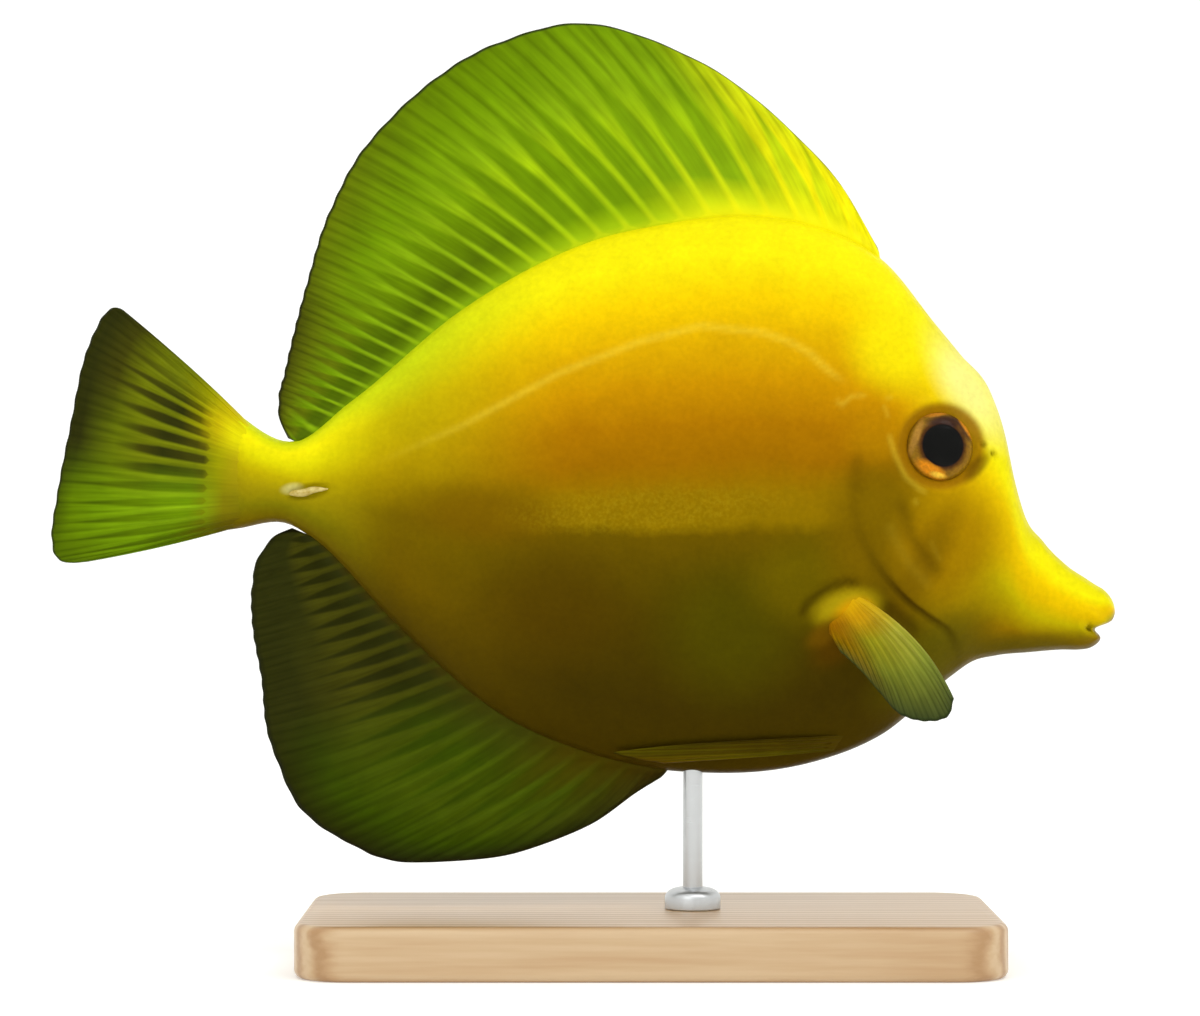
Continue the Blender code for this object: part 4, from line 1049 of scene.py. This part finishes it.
def pelvic_fin(word, side):
    """A pelvic fin, folded back along the belly."""
    spaces, guides = fan(PELVIC_GUIDES)

    def ends(share):
        root_x, root_z, tip_x, tip_z, out = (guide(share) for guide in guides)
        return root_x, root_z, tip_x - root_x, tip_z - root_z, out

    def lengths(share):
        _, _, run_x, run_z, _ = ends(share)
        return np.hypot(run_x, run_z)

    def to_space(share, reach, y):
        root_x, root_z, run_x, run_z, out = ends(share)
        step = along_ray(reach, lengths(share))
        x = root_x + run_x * step
        z = root_z + run_z * step
        lift = 0.45 * smooth(step, 0.0, 0.35) - 0.7 * (1.0 - smooth(step, -0.05, 0.14))
        return x, side * (plain_flank(x, z)[0] + lift + out * np.clip(step, 0.0, 1.0) + 0.7 * y), z

    piece = fin("pelvic_fin_skin_" + word, spaces, 8, 40, lengths, to_space)
    # Dark browns: painted shade, as the fin lies folded under the belly
    stations = [(0.1, [(0.0, UMBER), (1.0, BARK)], [(0.0, UMBER), (1.0, BARK)]),
                (0.6, [(0.0, UMBER), (0.3, UMBER), (1.0, TEA)], [(0.0, UMBER), (1.0, UMBER)]),
                (0.9, [(0.0, UMBER), (0.3, TEA), (1.0, OLIVE)], [(0.0, UMBER), (0.3, TEA), (1.0, TEA)])]
    material = fin_material("pelvic_membrane_on_rays_" + word, spaces, stations, (0.04, 1.3, 0.25),
                            (BARK, 0.3, 0.3))
    hand_in(piece, material, "side_fin", "pelvic_fin_" + word)


# The eye's turned outline, as (share of its radius, height over its base)
EYE_OUTLINE = [(0.0, 1.85), (0.2, 1.81), (0.4, 1.69), (0.52, 1.57), (0.575, 1.50), (0.61, 1.47),
               (0.7, 1.32), (0.82, 1.04), (0.92, 0.66), (0.98, 0.22), (1.0, -0.2)]


def eye(word, side):
    """An eyeball with its bulging pupil and sloping iris, sunk in the orbit."""
    piece, (x, y, z) = ball("eyeball_" + word, 96, 96)
    polar = np.arccos(np.clip(z, -1.0, 1.0)) / math.pi
    radius = np.where(polar < 0.5, polar / 0.5, (1.0 - polar) / 0.5)
    height = np.where(polar < 0.5, graph(EYE_OUTLINE)(radius), -0.2 - 2.0 * (1.0 - radius ** 2))
    bearing = np.arctan2(y, x)
    across, up = EYE_RADIUS * radius * np.cos(bearing), EYE_RADIUS * radius * np.sin(bearing)

    outward = flank_normal(np.array(EYE_PLACE[0]), np.array(EYE_PLACE[1]))
    level = np.array([outward[1], -outward[0], 0.0])
    level /= np.linalg.norm(level)
    upright = np.cross(level, outward)
    surface, _ = plain_flank(np.array(EYE_PLACE[0]), np.array(EYE_PLACE[1]))
    centre = np.array([EYE_PLACE[0], surface, EYE_PLACE[1]]) - outward * EYE_SINK
    place = (centre + across[:, None] * level - up[:, None] * upright + height[:, None] * outward)
    move_points(piece, place[:, 0], side * place[:, 1], place[:, 2])
    write_attribute(piece, "radius", np.where(polar < 0.5, radius, 1.0))
    turn_outward(piece)
    return piece


def eyes():
    """Both eyeballs."""
    material = eye_material()
    for word, side in (("left", 1.0), ("right", -1.0)):
        hand_in(eye(word, side), material, "eye", "eye_" + word)


def spine_material():
    """Bone under a thin sheath: cream and waxy."""
    material, tree, shader = new_material("bony_spine_cream", Roughness=0.38, Coat_Weight=0.2)
    place = place_in_mm(tree)
    noise = add(tree, "TexNoise", {"Vector": place, "Scale": 1.0 / 0.8, "Detail": 2.0})
    tint = add(tree, "ValToRGB", {"Fac": noise}, stops=[(0.3, "#AA8E24"), (0.7, "#D3C47A")])
    tree.links.new(tint, shader.inputs["Base Color"])
    return material


def tail_spines():
    """On each side of the stalk the folded scalpel: a flat blade, its point towards the head."""
    material = spine_material()
    for word, side in (("left", 1.0), ("right", -1.0)):
        piece, (x, y, z) = ball("tail_spine_" + word, 32, 24)
        taper = 0.35 + 0.65 * np.clip(0.5 - 0.5 * z, 0.0, 1.0) ** 0.6
        along = z * SPINE_HALF_LENGTH
        up = x * 0.72 * taper + 0.10 * np.sin(z * 5.0)
        out = y * 0.75 * taper
        angle = math.radians(SPINE_TILT)
        place_x = SPINE_PLACE[0] + along * math.cos(angle) - up * math.sin(angle)
        place_z = SPINE_PLACE[1] + along * math.sin(angle) + up * math.cos(angle)
        surface, _ = plain_flank(place_x, place_z)
        move_points(piece, place_x, side * (surface + out), place_z)
        turn_outward(piece)
        hand_in(piece, material, "spine", "caudal_spine_" + word)


def maple_material():
    """Planed maple under satin varnish: pale, with long fine grain and a soft shine."""
    material, tree, shader = new_material("maple_satin_varnish", Roughness=0.38, Coat_Weight=0.25,
                                          Coat_Roughness=0.25)
    place = place_in_mm(tree)
    stretched = add(tree, "Mapping", {"Vector": place, "Scale": (0.05, 1.0, 1.0)})
    rings = add(tree, "TexWave", {"Vector": stretched, "Scale": 1.0 / 9.0, "Distortion": 5.0,
                                  "Detail": 3.0, "Detail Scale": 1.2}, bands_direction="Y")
    fibres = add(tree, "TexNoise", {"Vector": stretched, "Scale": 1.0 / 0.7, "Detail": 3.0})
    blend = add(tree, "MixRGB", {"Fac": 0.4, "Color1": rings, "Color2": fibres})
    tint = add(tree, "ValToRGB", {"Fac": blend},
               stops=[(0.2, "#AB8458"), (0.5, "#BC996F"), (0.8, "#C9AC85")])
    tree.links.new(tint, shader.inputs["Base Color"])
    raised = add(tree, "Bump", {"Height": fibres, "Strength": 0.2, "Distance": 0.05 * MM})
    tree.links.new(raised, shader.inputs["Normal"])
    return material


def steel_material():
    """Brushed stainless steel: grey, with fine lines round the rod that stretch the highlights."""
    material, tree, shader = new_material("stainless_steel_brushed", Metallic=1.0,
                                          Base_Color=linear("#C4C6C8"))
    place = place_in_mm(tree)
    stretched = add(tree, "Mapping", {"Vector": place, "Scale": (0.3, 0.3, 6.0)})
    lines = add(tree, "TexNoise", {"Vector": stretched, "Scale": 1.0, "Detail": 2.0})
    rough = add(tree, "MapRange", {"Value": lines, "To Min": 0.22, "To Max": 0.42})
    tree.links.new(rough, shader.inputs["Roughness"])
    return material


def turned(name, profile):
    """A turned piece on the rod's axis, from its outline as (radius, height) upward."""
    radius, height = profile[0]
    bpy.ops.object.select_all(action="DESELECT")
    bpy.ops.mesh.primitive_circle_add(vertices=64, radius=radius * MM, fill_type="NGON")
    piece = just_added(name)
    bpy.ops.object.mode_set(mode="EDIT")
    bpy.ops.mesh.select_all(action="SELECT")
    bpy.ops.transform.translate(value=(ROD_X * MM, 0.0, height * MM))
    for next_radius, next_height in profile[1:]:
        rise = (next_height - height) * MM
        bpy.ops.mesh.extrude_region_move(TRANSFORM_OT_translate={"value": (0.0, 0.0, rise)})
        grown = next_radius / radius
        bpy.ops.transform.resize(value=(grown, grown, 1.0), center_override=(ROD_X * MM, 0.0, 0.0))
        radius, height = next_radius, next_height
    bpy.ops.object.mode_set(mode="OBJECT")
    turn_outward(piece)
    bpy.ops.object.shade_smooth_by_angle(angle=math.radians(CREASE_ANGLE))
    return piece


def base():
    """The wooden base: a plate with round corners and a small round-over on its edges."""
    low, high = (np.array(corner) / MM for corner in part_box("stand_base"))
    bpy.ops.object.select_all(action="DESELECT")
    bpy.ops.mesh.primitive_cube_add(size=1.0 * MM)
    piece = just_added("maple_base")
    x, y, z = points(piece)
    centre, size = (low + high) / 2.0, high - low
    move_points(piece, centre[0] + x * size[0], centre[1] + y * size[1], centre[2] + z * size[2])
    bpy.ops.object.mode_set(mode="EDIT")
    bpy.ops.mesh.select_mode(type="EDGE")
    bpy.ops.mesh.select_all(action="DESELECT")
    mesh = bmesh.from_edit_mesh(piece.data)
    for edge in mesh.edges:
        start, end = (vertex.co for vertex in edge.verts)
        edge.select = abs(start.z - end.z) > 0.5 * size[2] * MM
    bmesh.update_edit_mesh(piece.data)
    bpy.ops.mesh.bevel(offset=BASE_CORNER * MM, segments=14)
    bpy.ops.object.mode_set(mode="OBJECT")
    apply(piece, "BEVEL", width=BASE_ROUNDING * MM, segments=4, limit_method="ANGLE",
          angle_limit=math.radians(50.0))
    turn_outward(piece)
    bpy.ops.object.shade_smooth_by_angle(angle=math.radians(CREASE_ANGLE))
    return piece


def stand():
    """The plain display stand: a wooden base, a steel rod up into the belly and a collar at its foot."""
    hand_in(base(), maple_material(), "base_wood", "stand_base")
    steel = steel_material()
    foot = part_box("stand_base")[1][2] / MM
    top = belly(ROD_X) + 1.0
    hand_in(turned("steel_rod", [(ROD_RADIUS, foot), (ROD_RADIUS, 0.5 * (foot + top)),
                                 (ROD_RADIUS, top)]), steel, "rod_steel", "stand_rod")
    collar = [(4.0, foot), (4.2, foot + 0.2), (4.2, foot + 1.8), (4.05, foot + 2.3), (3.6, foot + 2.8),
              (3.0, foot + 3.1), (2.2, foot + 3.3), (1.55, foot + 3.3)]
    hand_in(turned("steel_collar", collar), steel, "rod_steel", "stand_collar")


def backdrop():
    """A pale round floor that curves up into a wall all round."""
    bpy.ops.object.select_all(action="DESELECT")
    bpy.ops.mesh.primitive_circle_add(vertices=96, radius=FLOOR_RADIUS, fill_type="NGON")
    floor = just_added("studio_floor")
    bpy.ops.object.mode_set(mode="EDIT")
    bpy.ops.mesh.select_mode(type="EDGE")
    bpy.ops.mesh.select_all(action="DESELECT")
    bpy.ops.mesh.select_non_manifold()
    for k in range(SWEEP_STEPS):
        start, end = (math.radians(90.0 * (k + step) / SWEEP_STEPS) for step in (0, 1))
        radius, grown_radius = (FLOOR_RADIUS + SWEEP_RADIUS * math.sin(angle) for angle in (start, end))
        grown = grown_radius / radius
        rise = SWEEP_RADIUS * (math.cos(start) - math.cos(end))
        bpy.ops.mesh.extrude_region_move(TRANSFORM_OT_translate={"value": (0.0, 0.0, rise)})
        bpy.ops.transform.resize(value=(grown, grown, 1.0), center_override=(0.0, 0.0, 0.0))
    bpy.ops.object.mode_set(mode="OBJECT")
    bpy.ops.object.shade_smooth()
    paper, _, _ = new_material("backlit_paper_matt", Base_Color=linear("#EFEFED"), Roughness=0.9,
                               Emission_Color=linear("#FFFFFF"), Emission_Strength=PAPER_GLOW)
    floor.data.materials.append(paper)


def studio():
    """The backdrop, three soft lamps, an evenly lit room and the camera."""
    backdrop()
    room = bpy.data.worlds.new("room")
    bpy.context.scene.world = room
    room.use_nodes = True
    room.node_tree.nodes["Background"].inputs["Color"].default_value = linear("#FFFFFF")
    room.node_tree.nodes["Background"].inputs["Strength"].default_value = ROOM_LIGHT
    for name, place, size, power in LAMPS:
        lamp(name, place, size, power)
    camera()


def lamp(name, place, size, power):
    """A square softbox that faces the middle of the fish."""
    light = bpy.data.lights.new(name, "AREA")
    light.size = size * MM
    light.energy = power
    made = bpy.data.objects.new(name, light)
    bpy.context.scene.collection.objects.link(made)
    made.location = Vector(place) * MM
    aim = Vector(LAMP_TARGET) * MM - made.location
    made.rotation_euler = aim.to_track_quat("-Z", "Y").to_euler()


def camera():
    """The camera of the photograph: level, square on to the right flank."""
    view = bpy.data.cameras.new("camera")
    view.sensor_width = SENSOR_WIDTH
    view.lens = SENSOR_WIDTH * -CAMERA_PLACE[1] / FRAME_WIDTH
    view.clip_start = 0.01
    made = bpy.data.objects.new("camera", view)
    bpy.context.scene.collection.objects.link(made)
    made.location = Vector(CAMERA_PLACE) * MM
    made.rotation_euler = (math.radians(90.0), 0.0, 0.0)
    bpy.context.scene.camera = made


bpy.context.scene.view_settings.view_transform = "Standard"
studio()
fish_skin()
dorsal_fin()
anal_fin()
caudal_fin()
for side_word, side_sign in (("left", 1.0), ("right", -1.0)):
    pectoral_fin(side_word, side_sign)
    pelvic_fin(side_word, side_sign)
eyes()
tail_spines()
stand()
